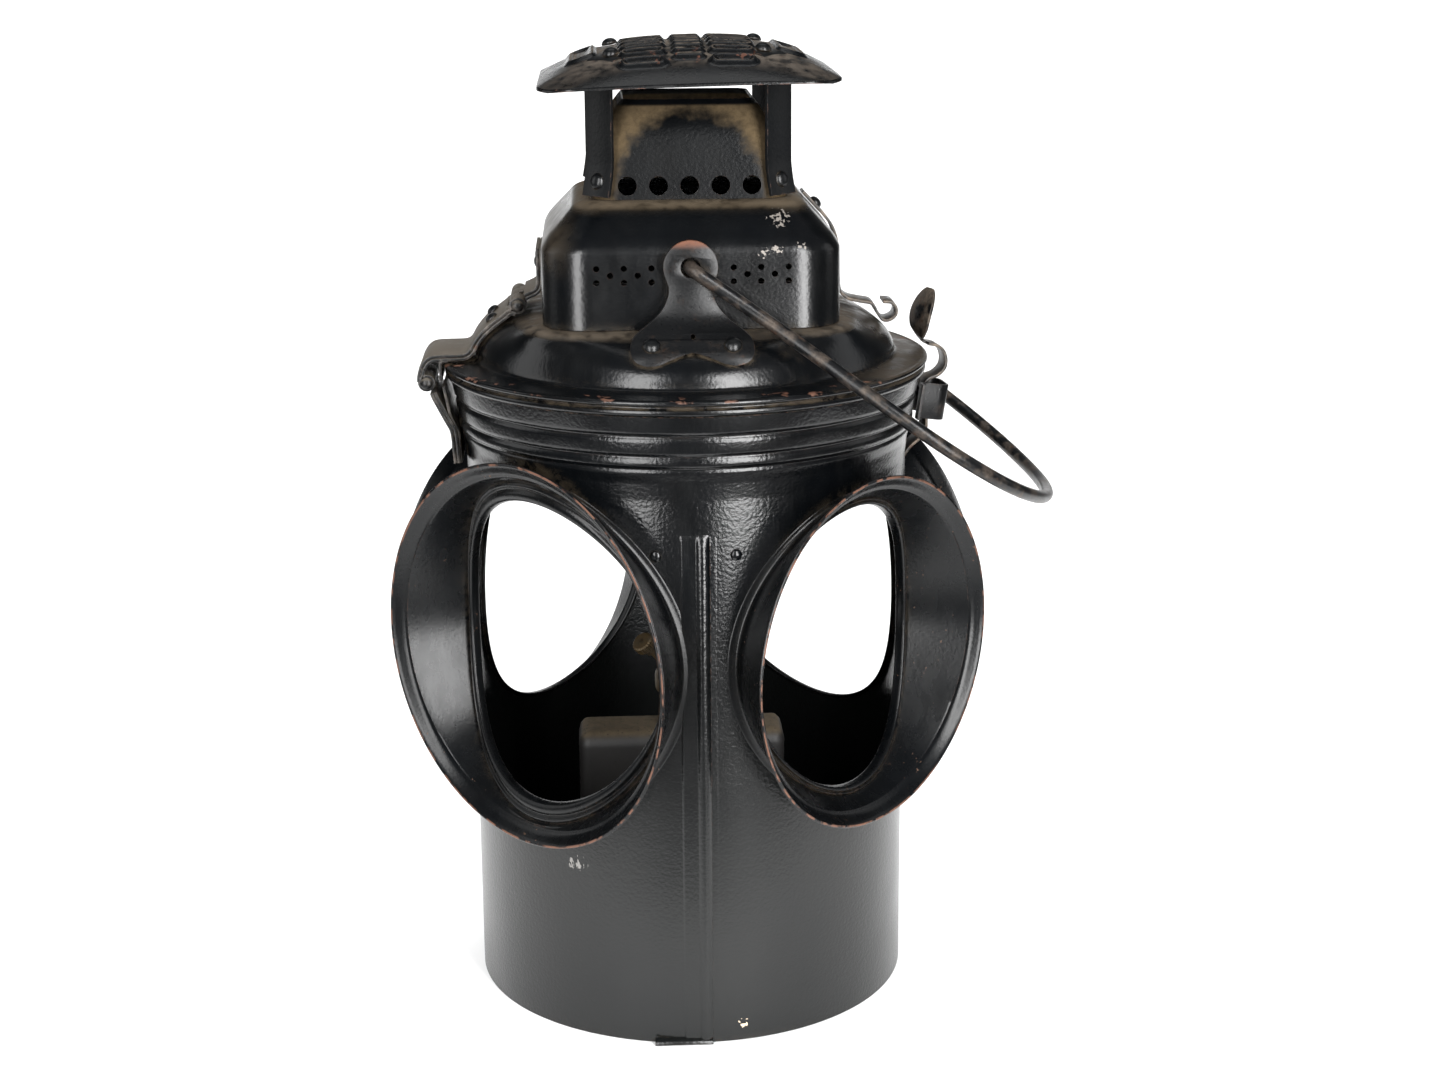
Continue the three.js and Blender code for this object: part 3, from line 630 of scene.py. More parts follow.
def cap_extra(n, look):
    """The cap's top is filmed with dust between the pressed bars, with rust on them and on the edge."""
    up = n.step(n.facing_up(), 0.9, 0.995)
    dusty = n.both(n.scaled(up, 0.65), n.step(n.noise(5, 5), 0.3, 0.62))
    look = laid_on(n, look, dusty, (0.085, 0.068, 0.052), 0.85)
    rusty = n.both(n.step(n.noise(3.2, 4), 0.62, 0.68), n.step(n.axis("Y"), -28, -40))
    rusty = n.both(n.scaled(rusty, 0.4), n.step(n.axis("Z"), CAP_EDGE_Z + 6, CAP_EDGE_Z + 8))
    edge = n.both(n.edges(0.5), n.step(n.noise(8, 5), 0.5, 0.6))
    rusty = n.either(rusty, n.scaled(edge, 0.7))
    return laid_on(n, look, rusty, RUST, 0.8)


def hood_extra(n, look):
    """The lip's raw edge shows copper red here and there, with specks of dirt in the hood's throat."""
    lip = n.tree.nodes.new("ShaderNodeAttribute")
    lip.attribute_name = "lip"
    ragged = n.both(n.step(lip.outputs["Fac"], 0.35, 0.8), n.step(n.noise(6, 5), 0.44, 0.56))
    look = laid_on(n, look, n.scaled(ragged, 0.85), (0.17, 0.083, 0.055), 0.55, 0.3)
    dirt = n.both(n.step(n.noise(1.6, 2), 0.70, 0.73), n.step(n.noise(24, 2), 0.52, 0.6))
    return laid_on(n, look, n.scaled(dirt, 0.5), (0.15, 0.085, 0.055), 0.8)


def worn_steel(name, paint_left=0.55, rough=0.42, tint=(0.075, 0.066, 0.058), extra=None):
    """Bare brown-grey steel under the remains of black paint, drawn lengthwise."""
    n = Nodes(name)
    blotch = n.noise(7, 5, 0.6)
    fine = n.noise(0.9, 3)
    bare = n.mix(n.step(fine, 0.3, 0.7), tint, tuple(c * 1.7 for c in tint))
    bare = n.mix(n.step(n.noise(5, 4), 0.56, 0.7), bare, (0.07, 0.038, 0.024))
    painted = n.step(blotch, 0.60 - paint_left * 0.35, 0.80 - paint_left * 0.35)
    edge = n.both(n.edges(0.5), n.step(n.noise(2, 4), 0.3, 0.6))
    painted = n.math("SUBTRACT", painted, edge, clamp=True)
    color = n.mix(painted, bare, (0.0024, 0.0026, 0.0029))
    roughness = n.mix_value(painted, rough, 0.31)
    roughness = n.math("ADD", roughness, n.step(fine, 0.2, 0.8, -0.05, 0.08))
    metallic = n.mix_value(painted, 0.6, 0.0)
    dust = n.both(n.step(n.crevice(4), 0.35, 0.9), n.step(n.noise(3, 4), 0.35, 0.6))
    color = n.mix(n.scaled(dust, 0.6), color, DUST)
    roughness = n.mix_value(dust, roughness, 0.85)
    normal = n.bump(n.noise(1.1, 4), 0.1, 0.5)
    if extra:
        color, roughness, metallic = extra(n, (color, roughness, metallic))
    return n.finish(color, roughness, metallic, normal, 0.3)


def ear_extra(n, look):
    """Rust where the bail has rubbed the paint off the top of the eye."""
    rub = n.both(n.step(n.axis("Z"), BAIL_Z + 6.4, BAIL_Z + 9.4), n.step(n.noise(3, 4), 0.2, 0.5))
    return laid_on(n, look, n.scaled(rub, 0.75), (0.14, 0.052, 0.026), 0.7, 0.1)


def strap_extra(n, look):
    """The hinge straps' upper faces are dull grey-brown with dust."""
    up = n.both(n.step(n.facing_up(), 0.15, 0.6), n.step(n.noise(4, 4), 0.2, 0.55, 0.5, 1.0))
    return laid_on(n, look, n.scaled(up, 0.75), (0.085, 0.073, 0.058), 0.75, 0.1)


def dusty_tin():
    """Dull dark tin, with tan dust and black specks on its top."""
    n = Nodes("dusty tin")
    top = n.step(n.facing_up(), 0.3, 0.9)
    tan = n.mix(n.noise(3, 5), (0.030, 0.022, 0.012), (0.10, 0.074, 0.043))
    tan = n.mix(n.step(n.noise(1.4, 1), 0.68, 0.72), tan, (0.015, 0.012, 0.009))
    side = n.mix(n.noise(22, 4), (0.010, 0.010, 0.011), (0.026, 0.024, 0.022))
    color = n.mix(top, side, tan)
    roughness = n.mix_value(top, 0.55, 0.92)
    return n.finish(color, roughness, n.step(top, 0.0, 1.0, 0.3, 0.0), n.bump(n.noise(1.2, 3), 0.12, 0.6))


def tarnished_brass():
    """Brass gone brown and sooty, with dust in its corners."""
    n = Nodes("tarnished brass")
    stain = n.step(n.noise(6, 5), 0.3, 0.7)
    color = n.mix(stain, (0.085, 0.058, 0.026), (0.022, 0.016, 0.010))
    dust = n.both(n.step(n.crevice(4), 0.3, 0.85), n.step(n.noise(2, 3), 0.3, 0.6))
    color = n.mix(n.scaled(dust, 0.5), color, (0.10, 0.078, 0.050))
    roughness = n.mix_value(stain, 0.45, 0.7)
    return n.finish(color, roughness, n.mix_value(stain, 0.7, 0.3), n.bump(n.noise(0.8, 3), 0.08, 0.5))


def cotton_wick():
    """Woven cotton tape, charred at its top."""
    n = Nodes("cotton wick")
    wave = n.tree.nodes.new("ShaderNodeTexWave")
    wave.inputs["Scale"].default_value = 1 / (5 * MM)
    wave.inputs["Distortion"].default_value = 1.0
    n.link(n.place, wave.inputs["Vector"])
    cloth = n.mix(wave.outputs["Fac"], (0.30, 0.26, 0.19), (0.47, 0.42, 0.33))
    char = n.step(n.axis("Z"), 136, 141)
    color = n.mix(char, cloth, (0.012, 0.010, 0.009))
    return n.finish(color, 0.95, 0.0, n.bump(wave.outputs["Fac"], 0.2, 0.8))


def studio_floor():
    """Plain pale paper with a faint grain, dark where the camera doesn't see it."""
    n = Nodes("floor paper")
    pale = n.mix(n.noise(60, 3), (0.86, 0.86, 0.86), (0.89, 0.89, 0.885))
    unseen = n.either(n.step(n.axis("Y"), -170, -330), n.step(n.axis("Z"), 450, 700))
    aside = n.math("SUBTRACT", n.math("ABSOLUTE", n.axis("X")), n.math("MULTIPLY", n.axis("Y"), 0.25))
    unseen = n.either(unseen, n.step(aside, 420, 620))
    color = n.mix(unseen, pale, (0.05, 0.05, 0.05))
    return n.finish(color, 0.7, 0.0)


BODY_PAINT = old_paint("body paint", film=0.35, dust=0.35, wrinkle=0.75, rough=0.2, extra=body_extra)
HOOD_PAINT = old_paint(
    "hood paint", film=0.2, dust=0.3, wrinkle=0.3, rough=0.26, wear=0.15, shine=0.3, extra=hood_extra
)
LID_PAINT = old_paint("lid paint", film=0.2, dust=0.75, wrinkle=0.45, rough=0.2, wear=0.15, extra=lid_extra)
VENT_PAINT = old_paint(
    "ventilator paint", film=0.15, dust=0.7, wrinkle=0.4, rough=0.22, wear=0.1, extra=vent_extra
)
CHIMNEY_PAINT = old_paint("chimney paint", wrinkle=0.9, rough=0.36, wear=0.1, shine=0.12, extra=chimney_extra)
CAP_PAINT = old_paint("cap paint", film=0.2, dust=0.8, rough=0.26, wear=0, extra=cap_extra)
LEG_PAINT = old_paint("cap leg paint", film=0.5, dust=0.7, wrinkle=0.8, rough=0.36, wear=0.5, shine=0.3)
RIVET_PAINT = old_paint("rivet paint", film=0.2, dust=0.9, rough=0.3, wear=0.2)
EAR_STEEL = worn_steel("ear steel", paint_left=0.95, rough=0.3, tint=(0.012, 0.010, 0.009), extra=ear_extra)
STRAP_STEEL = worn_steel("strap steel", paint_left=0.85, rough=0.45, extra=strap_extra)
KEEPER_STEEL = worn_steel("keeper steel", paint_left=0.95, rough=0.4, tint=(0.04, 0.034, 0.03))
BAIL_STEEL = worn_steel("bail steel", paint_left=0.7, rough=0.42, tint=(0.042, 0.034, 0.028))
SPRING_STEEL = worn_steel("spring steel", paint_left=0.65, rough=0.45, tint=(0.075, 0.061, 0.048))
TIN = dusty_tin()
BRASS = tarnished_brass()
WICK = cotton_wick()


# ---------- body ----------
def body_outline():
    """The body's sheet section. The collar flares out in two bands over a bead, with creases between."""
    outside = [
        (BODY_R, 0.25),
        (BODY_R, 222),
        (BODY_R + 0.7, 229),
        (BODY_R + 1.9, 233.0),
        (BODY_R + 1.5, 234.4),
        (BODY_R + 2.8, 235.4),
        (BODY_R + 2.9, 238.0),
        (BODY_R + 2.1, 239.1),
        (BODY_R + 3.2, 240.3),
        (BODY_R + 3.9, 245.6),
        (BODY_R + 2.9, 246.9),
        (BODY_R + 4.5, 248.3),
        (BODY_R + 5.6, BODY_TOP),
    ]
    return sheet(rounded(outside, 1.0, 3))


def on_body(across, height_over):
    """The distance from the lamp's axis, along a lens axis, of a point so far across, over the body."""
    return np.sqrt((BODY_R + height_over) ** 2 - across**2)


def opening_radius(size, angle, grow=0.0):
    """The reach of a hood's oval opening in one direction, with some millimetres to spare."""
    half_width, half_height = (half + grow for half in size["opening"])
    return half_width * half_height / np.hypot(half_height * np.cos(angle), half_width * np.sin(angle))


def opening_plug(size, turn):
    """A plug that cuts the body's opening, a little outside the hood's own edge."""
    rows = []
    for distance in (45, 130):
        ring = [k * TAU / 96 for k in range(96)]
        radii = [opening_radius(size, a, 2.0) for a in ring]
        rows.append([(distance, r * math.cos(a), HOOD_Z + r * math.sin(a)) for a, r in zip(ring, radii)])
    return placed(skin(rows, close_rows=False, caps=True), turn=turn)


def body_shell():
    """The body's tube and collar, cut open for the four hoods."""
    shell = raw_object("look_body_shell", turned(body_outline(), 240))
    boolean(shell, "DIFFERENCE", *[opening_plug(size, turn) for turn, size in HOODS.values()])
    dress(shell, "lamp_body", BODY_PAINT, ["body_shell"])


def foot_radius(size, angle, grow):
    """Where the hood's wall meets the body, by stepping in along the wall."""
    wall_d, wall_r = size["wall"]
    radius = wall_r
    for _ in range(12):
        depth = on_body(radius * math.cos(angle), 0)
        radius = wall_r + grow - size["slope"] * (wall_d - min(depth, wall_d - 0.2))
    return radius


def hood_section(size, angle):
    """The hood's closed section in one direction round the lens axis, as (distance, radius)."""
    lip_d, lip_r = size["lip"]
    crease_d, crease_r = size["crease"]
    wall_d, wall_r = size["wall"]
    inner_foot = foot_radius(size, angle, 0)
    outer_foot = foot_radius(size, angle, SHEET)
    edge = opening_radius(size, angle)
    band = inner_foot - edge

    def lying(radius, height):
        return (on_body(radius * math.cos(angle), height), radius)

    inside = [(lip_d, lip_r - 1.1), (crease_d, crease_r), (crease_d - 0.7, crease_r - 1.5), (wall_d, wall_r)]
    middle = ((wall_d + lying(inner_foot, 2.2)[0]) / 2, (wall_r + inner_foot + 0.6) / 2)
    inside += [middle, lying(inner_foot + 0.55, 2.2), lying(inner_foot - 0.15, 0.9)]
    for share, height in ((0.12, 1.5), (0.24, 1.6), (0.34, 0.8), (0.42, 0.7), (0.55, 1.35), (0.75, 1.3)):
        inside.append(lying(inner_foot - share * band, height))
    inside += [lying(inner_foot - 0.92 * band, 0.4), lying(edge, -1.6), lying(edge + 0.2, -2.7)]
    inside += [lying(edge + 1.2, -2.4), lying(edge + 2.2, -0.8), lying(outer_foot + 0.4, -0.6)]
    outside = [lying(outer_foot + 2.3, -0.3), lying(outer_foot + 2.0, 0.2), lying(outer_foot + 0.9, 0.55)]
    outside += [lying(outer_foot + 0.35, 2.4), (middle[0], middle[1] + SHEET)]
    outside += [(wall_d, wall_r + SHEET + 0.2), (crease_d - 0.4, crease_r + 0.6), (lip_d - 0.7, lip_r)]
    outside += [(lip_d, lip_r)]
    return inside + outside


def lens_hood(name, turn, size):
    """A flared hood. The lip attribute marks its raw edge for the paint."""
    segments = 144
    rows = []
    for k in range(segments):
        angle = k * TAU / segments
        section = spline(hood_section(size, angle), 3, closed=True)
        rows.append([(d, r * math.cos(angle), HOOD_Z + r * math.sin(angle)) for d, r in section])
    shape = placed(skin(rows), turn=turn)
    thing = raw_object("look_lens_hood_" + name, shape)
    lip = thing.data.attributes.new("lip", "FLOAT", "POINT")
    width = len(rows[0])
    lip_share = {width - 2: 1.0, width - 1: 1.0, 0: 0.35, width - 3: 0.35}
    lip.data.foreach_set("value", [lip_share.get(i, 0.0) for i in range(width)] * segments)
    dress(thing, "lamp_body", HOOD_PAINT, ["lens_hood_" + name], sharp=50)


def seam_height(across):
    """How far the seam stands over the body, across its width: a flat fold, then a round ridge."""
    ridge_x, ridge_half, ridge_rise = 1.4, 2.8, 1.35
    ridge_r = (ridge_half**2 + ridge_rise**2) / (2 * ridge_rise)
    ridge = math.sqrt(max(ridge_r**2 - (across - ridge_x) ** 2, 0)) - (ridge_r - ridge_rise)
    fold = 0.4 if across < ridge_x else 0.06
    return max(fold, ridge)


def lock_seam():
    """The body's front seam, with soft edges and a soft top, and the folded tab at its foot."""
    low, high = box_mm("lock_seam")
    middle = (low.x + high.x) / 2
    half = (high.x - low.x) / 2
    fading_in = ((0, 0), (0.7, 0.35), (1.6, 0.65), (2.8, 0.87), (4.4, 1), (90, 1), (high.z - low.z, 1))
    rows = []
    for drop, scale in fading_in:
        z = high.z - drop
        face = []
        for across in np.linspace(-half, half, 49):
            feather = math.sin(min((half - abs(across)) / 1.4, 1) * TAU / 4) ** 2
            lift = seam_height(across) * scale * feather - 0.12 * (1 - feather * min(scale * 2, 1))
            x = middle + across
            face.append((x, x**2 / (2 * BODY_R) - BODY_R - lift, z))
        back = [(middle + x, (middle + x) ** 2 / (2 * BODY_R) - BODY_R + 0.5, z) for x in (7, -7)]
        rows.append(face + back)
    seam = skin(rows, close_rows=False, caps=True)
    tab_line = rounded([(-88.4, 2.4), (-89.6, 2.0), (-90.7, 1.2), (-90.9, 0.3)], 0.6)
    points, faces = ribbon(tab_line, 23, 0.6, ease=0.25)
    tab = np.stack([points[:, 1] - 6.5, points[:, 0], points[:, 2]], axis=1)
    show("lock_seam", together(seam, (tab, faces)), "lamp_body", BODY_PAINT)


def rivet(radius, height):
    """A domed rivet head standing on the origin."""
    dome = [(radius * math.sin(a), height * math.cos(a)) for a in np.linspace(0.12, 1.35, 7)]
    return turned_solid([*dome, (radius * 1.04, height * 0.08), (radius * 1.02, -0.35)], 28)


def rivet_on(name, radius, height, place, facing, body, material):
    """A painted rivet that stands on a face."""
    shape = placed(rivet(radius, height), place, facing)
    show(name, shape, body, material, sharp=60)


def body_rivets():
    """The rivet on each side of the seam."""
    for side, x in (("left", -15.2), ("right", 15.2)):
        angle = math.asin(x / BODY_R)
        facing = (math.sin(angle), -math.cos(angle), 0)
        place = (facing[0] * BODY_R, facing[1] * BODY_R, 200.4)
        rivet_on("body_rivet_" + side, 2.2, 1.2, place, facing, "lamp_body", BODY_PAINT)


def floor_plate():
    """A flat disc with an upturned rim."""
    edge = BODY_R - 1.4
    outline = rounded([(0.5, 0), (edge, 0), (edge, 6), (edge - 1, 6), (edge - 1, 1.4), (0.5, 1.4)], 0.6, 3)
    shape = turned(outline, 160)
    show("floor_plate", shape, "lamp_body", BODY_PAINT)


# ---------- hinges ----------
def knuckles(pivot, spans):
    """Rolled barrels round a pivot along Y."""
    shapes = []
    bore = PIN_R + 0.2
    for start, end in spans:
        ring = rounded([(KNUCKLE_R, start), (KNUCKLE_R, end), (bore, end), (bore, start)], 0.35, 2, True)
        points, faces = turned(ring, 36)
        points = np.stack([points[:, 0] + pivot.x, points[:, 2], points[:, 1] + pivot.z], axis=1)
        shapes.append((points, faces))
    return together(*shapes)


OUTER_SPANS = [(-HINGE_HALF, -6.4), (6.4, HINGE_HALF)]
MIDDLE_SPAN = [(-5.8, 5.8)]


def hinge_pin(name, pivot, body):
    """A hinge's pin, with a rounded head on each end."""
    ends = HINGE_HALF + 1.4
    pin = rod((pivot.x, -ends, pivot.z), (pivot.x, ends, pivot.z), PIN_R)
    heads = []
    for side in (-1, 1):
        place = (pivot.x, side * (HINGE_HALF + 0.5), pivot.z)
        heads.append(placed(rivet(2.3, 1.1), place, (0, side, 0)))
    show(name, together(pin, *heads), body, STRAP_STEEL, sharp=50)


def two_layers(line, width, middle_y=0.0):
    """A folded strip: two sheets with a dark line between them at the edge."""
    layers = [ribbon(sidestep(line, side * 0.72), width, 1.3, middle_y, 0.35) for side in (-1, 1)]
    return together(*layers)


def finger_plate(fingers_line, full_line, spans, width):
    """A folded strip whose end is cut into fingers round the knuckles of the other half."""
    fingers = [two_layers(fingers_line, end - start, (start + end) / 2) for start, end in spans]
    return together(two_layers(full_line, width), *fingers)


def lid_hinge_strap():
    """The strap up the lid's bulge. It hooks over the lid's hinge and carries the ventilator's."""
    hook = rounded([(-105.6, 254.3), (-105.5, 256.6), (-104.6, 259.8)], 1.0)
    main = [(-104.7, 259.5), (-103.4, 261.8), (-101.4, 263.4), (-99.0, 263.8), (-87.8, 263.9), (-85.2, 265.6)]
    main += [(-83.2, 269.6), (-79.0, 274.6), (-73.2, 278.9), (-70.2, 281.1)]
    tip = rounded([(-70.9, 280.9), (-69.2, 281.9), (-67.4, 281.5)], 1.0)
    plate = finger_plate(hook, rounded(main, 2.6, 4), OUTER_SPANS, 2 * HINGE_HALF)
    tips = [two_layers(tip, end - start, (start + end) / 2) for start, end in OUTER_SPANS]
    apron = ribbon(rounded([(-94.6, 262.5), (-97.5, 262.3), (-97.6, 254.8)], 1.2), 2 * HINGE_HALF, 1.1)
    barrels = [knuckles(LID_HINGE, OUTER_SPANS), knuckles(VENT_HINGE, OUTER_SPANS)]
    shape = together(plate, apron, *tips, *barrels)
    show("lid_hinge_strap", shape, "lid", STRAP_STEEL, sharp=50)


def body_hinge_leaf():
    """The leaf on the collar that holds the middle of the lid's hinge, over a backing plate."""
    foot = -BODY_R - 3.2
    finger = rounded([(-101.2, 252.2), (-100.6, 249.4)], 1.0)
    main = [(-100.7, 249.8), (-100.2, 248.2), (-95.2, 238.2), (-93.6, 235.4), (foot - 0.9, 233.2)]
    main += [(foot - 0.6, 230), (foot, 221.2)]
    plate = finger_plate(finger, rounded(main, 1.6, 4), MIDDLE_SPAN, 2 * HINGE_HALF)
    backing_line = [(foot + 1.4, 221.2), (foot + 1.0, 234), (-94.4, 240), (-96.6, 252.2)]
    backing = ribbon(rounded(backing_line, 2, 4), 34, 1.2)
    screws = [placed(rivet(2.2, 0.9), (foot - 1.6, y, 227), (-1, 0, 0)) for y in (-10, 10)]
    shape = together(plate, backing, knuckles(LID_HINGE, MIDDLE_SPAN), *screws)
    show("body_hinge_leaf", shape, "lamp_body", STRAP_STEEL, sharp=50)


def vent_hinge_strap():
    """The strap up the ventilator's left wall, from the middle of its hinge."""
    wall = VENT_LOW.x - 1.2
    finger = rounded([(VENT_HINGE.x + 0.7, VENT_HINGE.z + 2.6), (-63.2, 287.4)], 1.0)
    main = rounded([(-63.5, 287.3), (wall - 1.2, 289.4), (wall, 292), (wall, 306.4)], 1.6, 4)
    plate = finger_plate(finger, main, MIDDLE_SPAN, 2 * HINGE_HALF - 4)
    shape = together(plate, knuckles(VENT_HINGE, MIDDLE_SPAN))
    show("vent_hinge_strap", shape, "ventilator", STRAP_STEEL, sharp=50)


# ---------- lid ----------
def lid_shell():
    """The lid runs from its rolled rim over a flat flange and a bulge to the ventilator's seat."""
    line = [
        (RIM_R - 3.0, RIM_Z + 0.7, 0),
        (RIM_R - 1.9, RIM_Z + 0.15, 0),
        (RIM_R - 0.9, RIM_Z + 0.9, 0),
        (RIM_R - 0.9, RIM_Z + 2.3, 0),
        (RIM_R - 2.0, RIM_Z + 3.0, 0),
        (RIM_R - 2.1, RIM_Z + 3.7, 0),
        (RIM_R - 0.7, RIM_Z + 4.2, 0),
        (RIM_R - 0.1, RIM_Z + 4.8, 0),
        (RIM_R - 0.2, RIM_Z + 5.7, 0),
        (RIM_R - 1.4, RIM_Z + 6.2, 0),
        (RIM_R - 3.2, RIM_Z + 6.1, 0),
        (86.6, 262.2, 0),
        (84.8, 262.9, 0),
        (84.0, 264.2, 0),
        (83.5, 266.4, 0),
        (81.0, 270.5, 0.08),
        (76.2, 274.7, 0.25),
        (70.0, 277.9, 0.55),
        (62.5, 279.9, 0.92),
        (57.0, PLATEAU_Z, 1),
        (47.0, PLATEAU_Z, 1),
    ]
    shape = square_shell(spline(line, 4), 0.34, 192)
    show("lid_shell", shape, "lid", LID_PAINT)


def ear_outline():
    """The ear's flat outline as (x, z): a round eye on a waist that flares to a foot with two lobes."""
    eye = [(10.2 * math.cos(a), BAIL_Z + 10.2 * math.sin(a)) for a in np.linspace(-0.45, math.pi / 2, 9)]
    right = [(0, 275.6), (4.5, 274.6), (9, 273.0), (13, 271.6), (17.5, 271.4), (21.5, 273.0), (23.2, 276.4)]
    right += [(22.2, 280), (18.5, 283.2), (14, 286.4), (10.4, 290.4), (8.4, 295), (8.3, 298.2)]
    right += eye
    left = [(-x, z) for x, z in right[::-1]][1:-1]
    return spline(right + left, 4, closed=True)


def bail_ear(end, turn):
    """An ear: its outline cut from a plate that is bent to lie on the lid's bulge."""
    bend = [(-82.6, 266.0), (-80.6, 269.6), (-77.8, 273.6), (-74.6, 276.9), (-70.9, 279.9), (-67.6, 283.0)]
    bend += [(-65.0, 287.4), (-63.5, 293), (-62.9, 299), (-62.9, 318)]
    points, faces = ribbon(spline(bend, 5), 60, 2, ease=0.05)
    plate = raw_object("look_bail_ear_" + end, (points[:, [1, 0, 2]], faces))
    rows = [[(x, y, z) for x, z in ear_outline()] for y in (-120, -20)]
    boolean(plate, "INTERSECT", skin(rows, close_rows=False, caps=True))
    boolean(plate, "DIFFERENCE", rod((0, -50, BAIL_Z), (0, -75, BAIL_Z), BAIL_WIRE_R + 1.2, 32))
    boolean(plate, "DIFFERENCE", rod((0.4, -40, 280.6), (0.4, -90, 280.6), 0.9, 16))
    bevel(plate, 0.35, 50)
    plate.data.transform(Matrix.Rotation(math.radians(turn), 4, "Z"))
    dress(plate, "lid", EAR_STEEL, ["bail_ear_" + end], sharp=50)


def bail_ears():
    """Both ears, each with two rivets through its lobes."""
    for end, turn in (("front", 0), ("rear", 180)):
        bail_ear(end, turn)
        for side, sign in (("left", -1), ("right", 1)):
            sideways = sign if end == "front" else -sign
            place = (sideways * 15.2, -75.4, 278.2)
            shape = placed(rivet(3.2, 1.9), place, (0, -0.64, 0.77))
            shape = placed(shape, turn=turn)
            show(f"ear_rivet_{end}_{side}", shape, "lid", RIVET_PAINT, sharp=60)


def bail():
    """The wire bail: hooked through both ears, bowed outwards, with a rounded grip, drooping to the right."""
    half = [(0, -60.6), (0, -62.4), (0.1, -64.4), (1.1, -66.4), (3.4, -67.4), (8, -67.7), (20, -68.6)]
    half += [(36, -71.6), (54, -77.8), (72, -85.4), (90, -92), (108, -95.4), (125, -93.2), (141, -85)]
    half += [(155, -70.5), (166.5, -50.5), (174.6, -26)]
    route = half + [(177.6, 0)] + [(reach, -y) for reach, y in half[::-1]]
    plane = spline(route, 7)
    c, s = math.cos(BAIL_DROOP), math.sin(BAIL_DROOP)
    path = [(reach * c, y, BAIL_Z - reach * s) for reach, y in plane]
    show("bail", tube(path, BAIL_WIRE_R, 24), "bail_handle", BAIL_STEEL, sharp=60)


# ---------- ventilator ----------
def shifted(shape):
    """A shape moved onto the ventilator's own axis."""
    return placed(shape, (VENT_X, 0, 0))


def draught_hole_places():
    """Two groups of small holes beside each ear, in columns of two and of one, as (x, z)."""
    places = []
    for side in (-1, 1):
        for column in range(DRAUGHT_COLUMNS):
            x = VENT_X + side * (DRAUGHT_FIRST + column * DRAUGHT_PITCH)
            rows = (-DRAUGHT_ROW, DRAUGHT_ROW) if column % 2 == 0 else (0,)
            places += [(x, DRAUGHT_Z + dz) for dz in rows]
    return places


def vent_dome():
    """The ventilator's square dome with its draught holes."""
    top = VENT_HIGH.z
    half = VENT_HALF
    line = [
        (half, VENT_LOW.z),
        (half, 296),
        (half, 308),
        (half - 0.4, 310.8),
        (half - 2.4, 314.2),
        (half - 5.4, 317.6),
        (47.0, 323.0),
        (44.6, 325.4),
        (41.6, top - 0.7),
        (38.6, top),
        (34.6, top),
    ]
    line = [(r, z, 1.0) for r, z in spline(line, 5)]
    dome = raw_object("look_vent_dome", shifted(square_shell(line, 0.31, 200)))
    holes = [rod((x, -70, z), (x, 70, z), 1.2, 14) for x, z in draught_hole_places()]
    boolean(dome, "DIFFERENCE", together(*holes))
    dress(dome, "ventilator", VENT_PAINT, ["vent_dome"])


def chimney():
    """The square chimney, tapered to its open top, with five holes low in each wall."""
    low, top = CHIMNEY_LOW.z, CHIMNEY_HIGH.z
    line = [(37.9, low), (37.4, low + 2.4), (36.2, 338), (34.4, 347.4)]
    line += [(32.6, 353), (30.6, 357), (28, 361), (25.4, top)]
    line = [(r, z, 1.0) for r, z in spline(line, 5)]
    shell = raw_object("look_chimney", shifted(square_shell(line, 0.27, 160)))
    z = FLUE_HOLE_Z
    beyond = CHIMNEY_HIGH.y + 7
    holes = []
    for column in range(-2, 3):
        across = column * FLUE_HOLE_PITCH
        holes.append(rod((VENT_X + across, -beyond, z), (VENT_X + across, beyond, z), FLUE_HOLE_R, 28))
        holes.append(rod((VENT_X - beyond, across, z), (VENT_X + beyond, across, z), FLUE_HOLE_R, 28))
    boolean(shell, "DIFFERENCE", *holes)
    dress(shell, "ventilator", CHIMNEY_PAINT, ["chimney"])


def cap_rise(share):
    """How far the cap stands over its edge, from its middle, at share 0, out to its edge, at 1."""
    return CAP_RISE * (1 - 0.62 * share**2.4 - 0.38 * share**5)


def bar_ridge(x, y, centre, half_size, corner, width):
    """The height, from 0 to 1, of a raised frame in the shape of a rounded rectangle."""
    dx = abs(x - centre[0]) - (half_size[0] - corner)
    dy = abs(y - centre[1]) - (half_size[1] - corner)
    outside = math.hypot(max(dx, 0), max(dy, 0)) + min(max(dx, dy), 0) - corner
    nearness = min(abs(outside) / width, 1)
    return 0.5 + 0.5 * math.cos(math.pi * nearness)


def embossing(x, y):
    """The height, from 0 to 1, of a plain pressed pattern: bars down the middle, frames beside them."""
    ridges = [0.0]
    bar_row = max(min(round(y / 6.4), 6), -6)
    ridges.append(bar_ridge(x, y, (0.4, bar_row * 6.4), (4.6, 0.7), 0.6, 2.5))
    frame_row = max(min(round(y / 10.6), 4), -4)
    for side in (-1, 1):
        ridges.append(bar_ridge(x, y, (side * 17, frame_row * 10.6), (7.6, 2.7), 2.2, 2.3))
        ridges.append(bar_ridge(x, y, (side * 40.5, 0), (4.4, 24), 3.6, 2.4))
    return max(ridges)


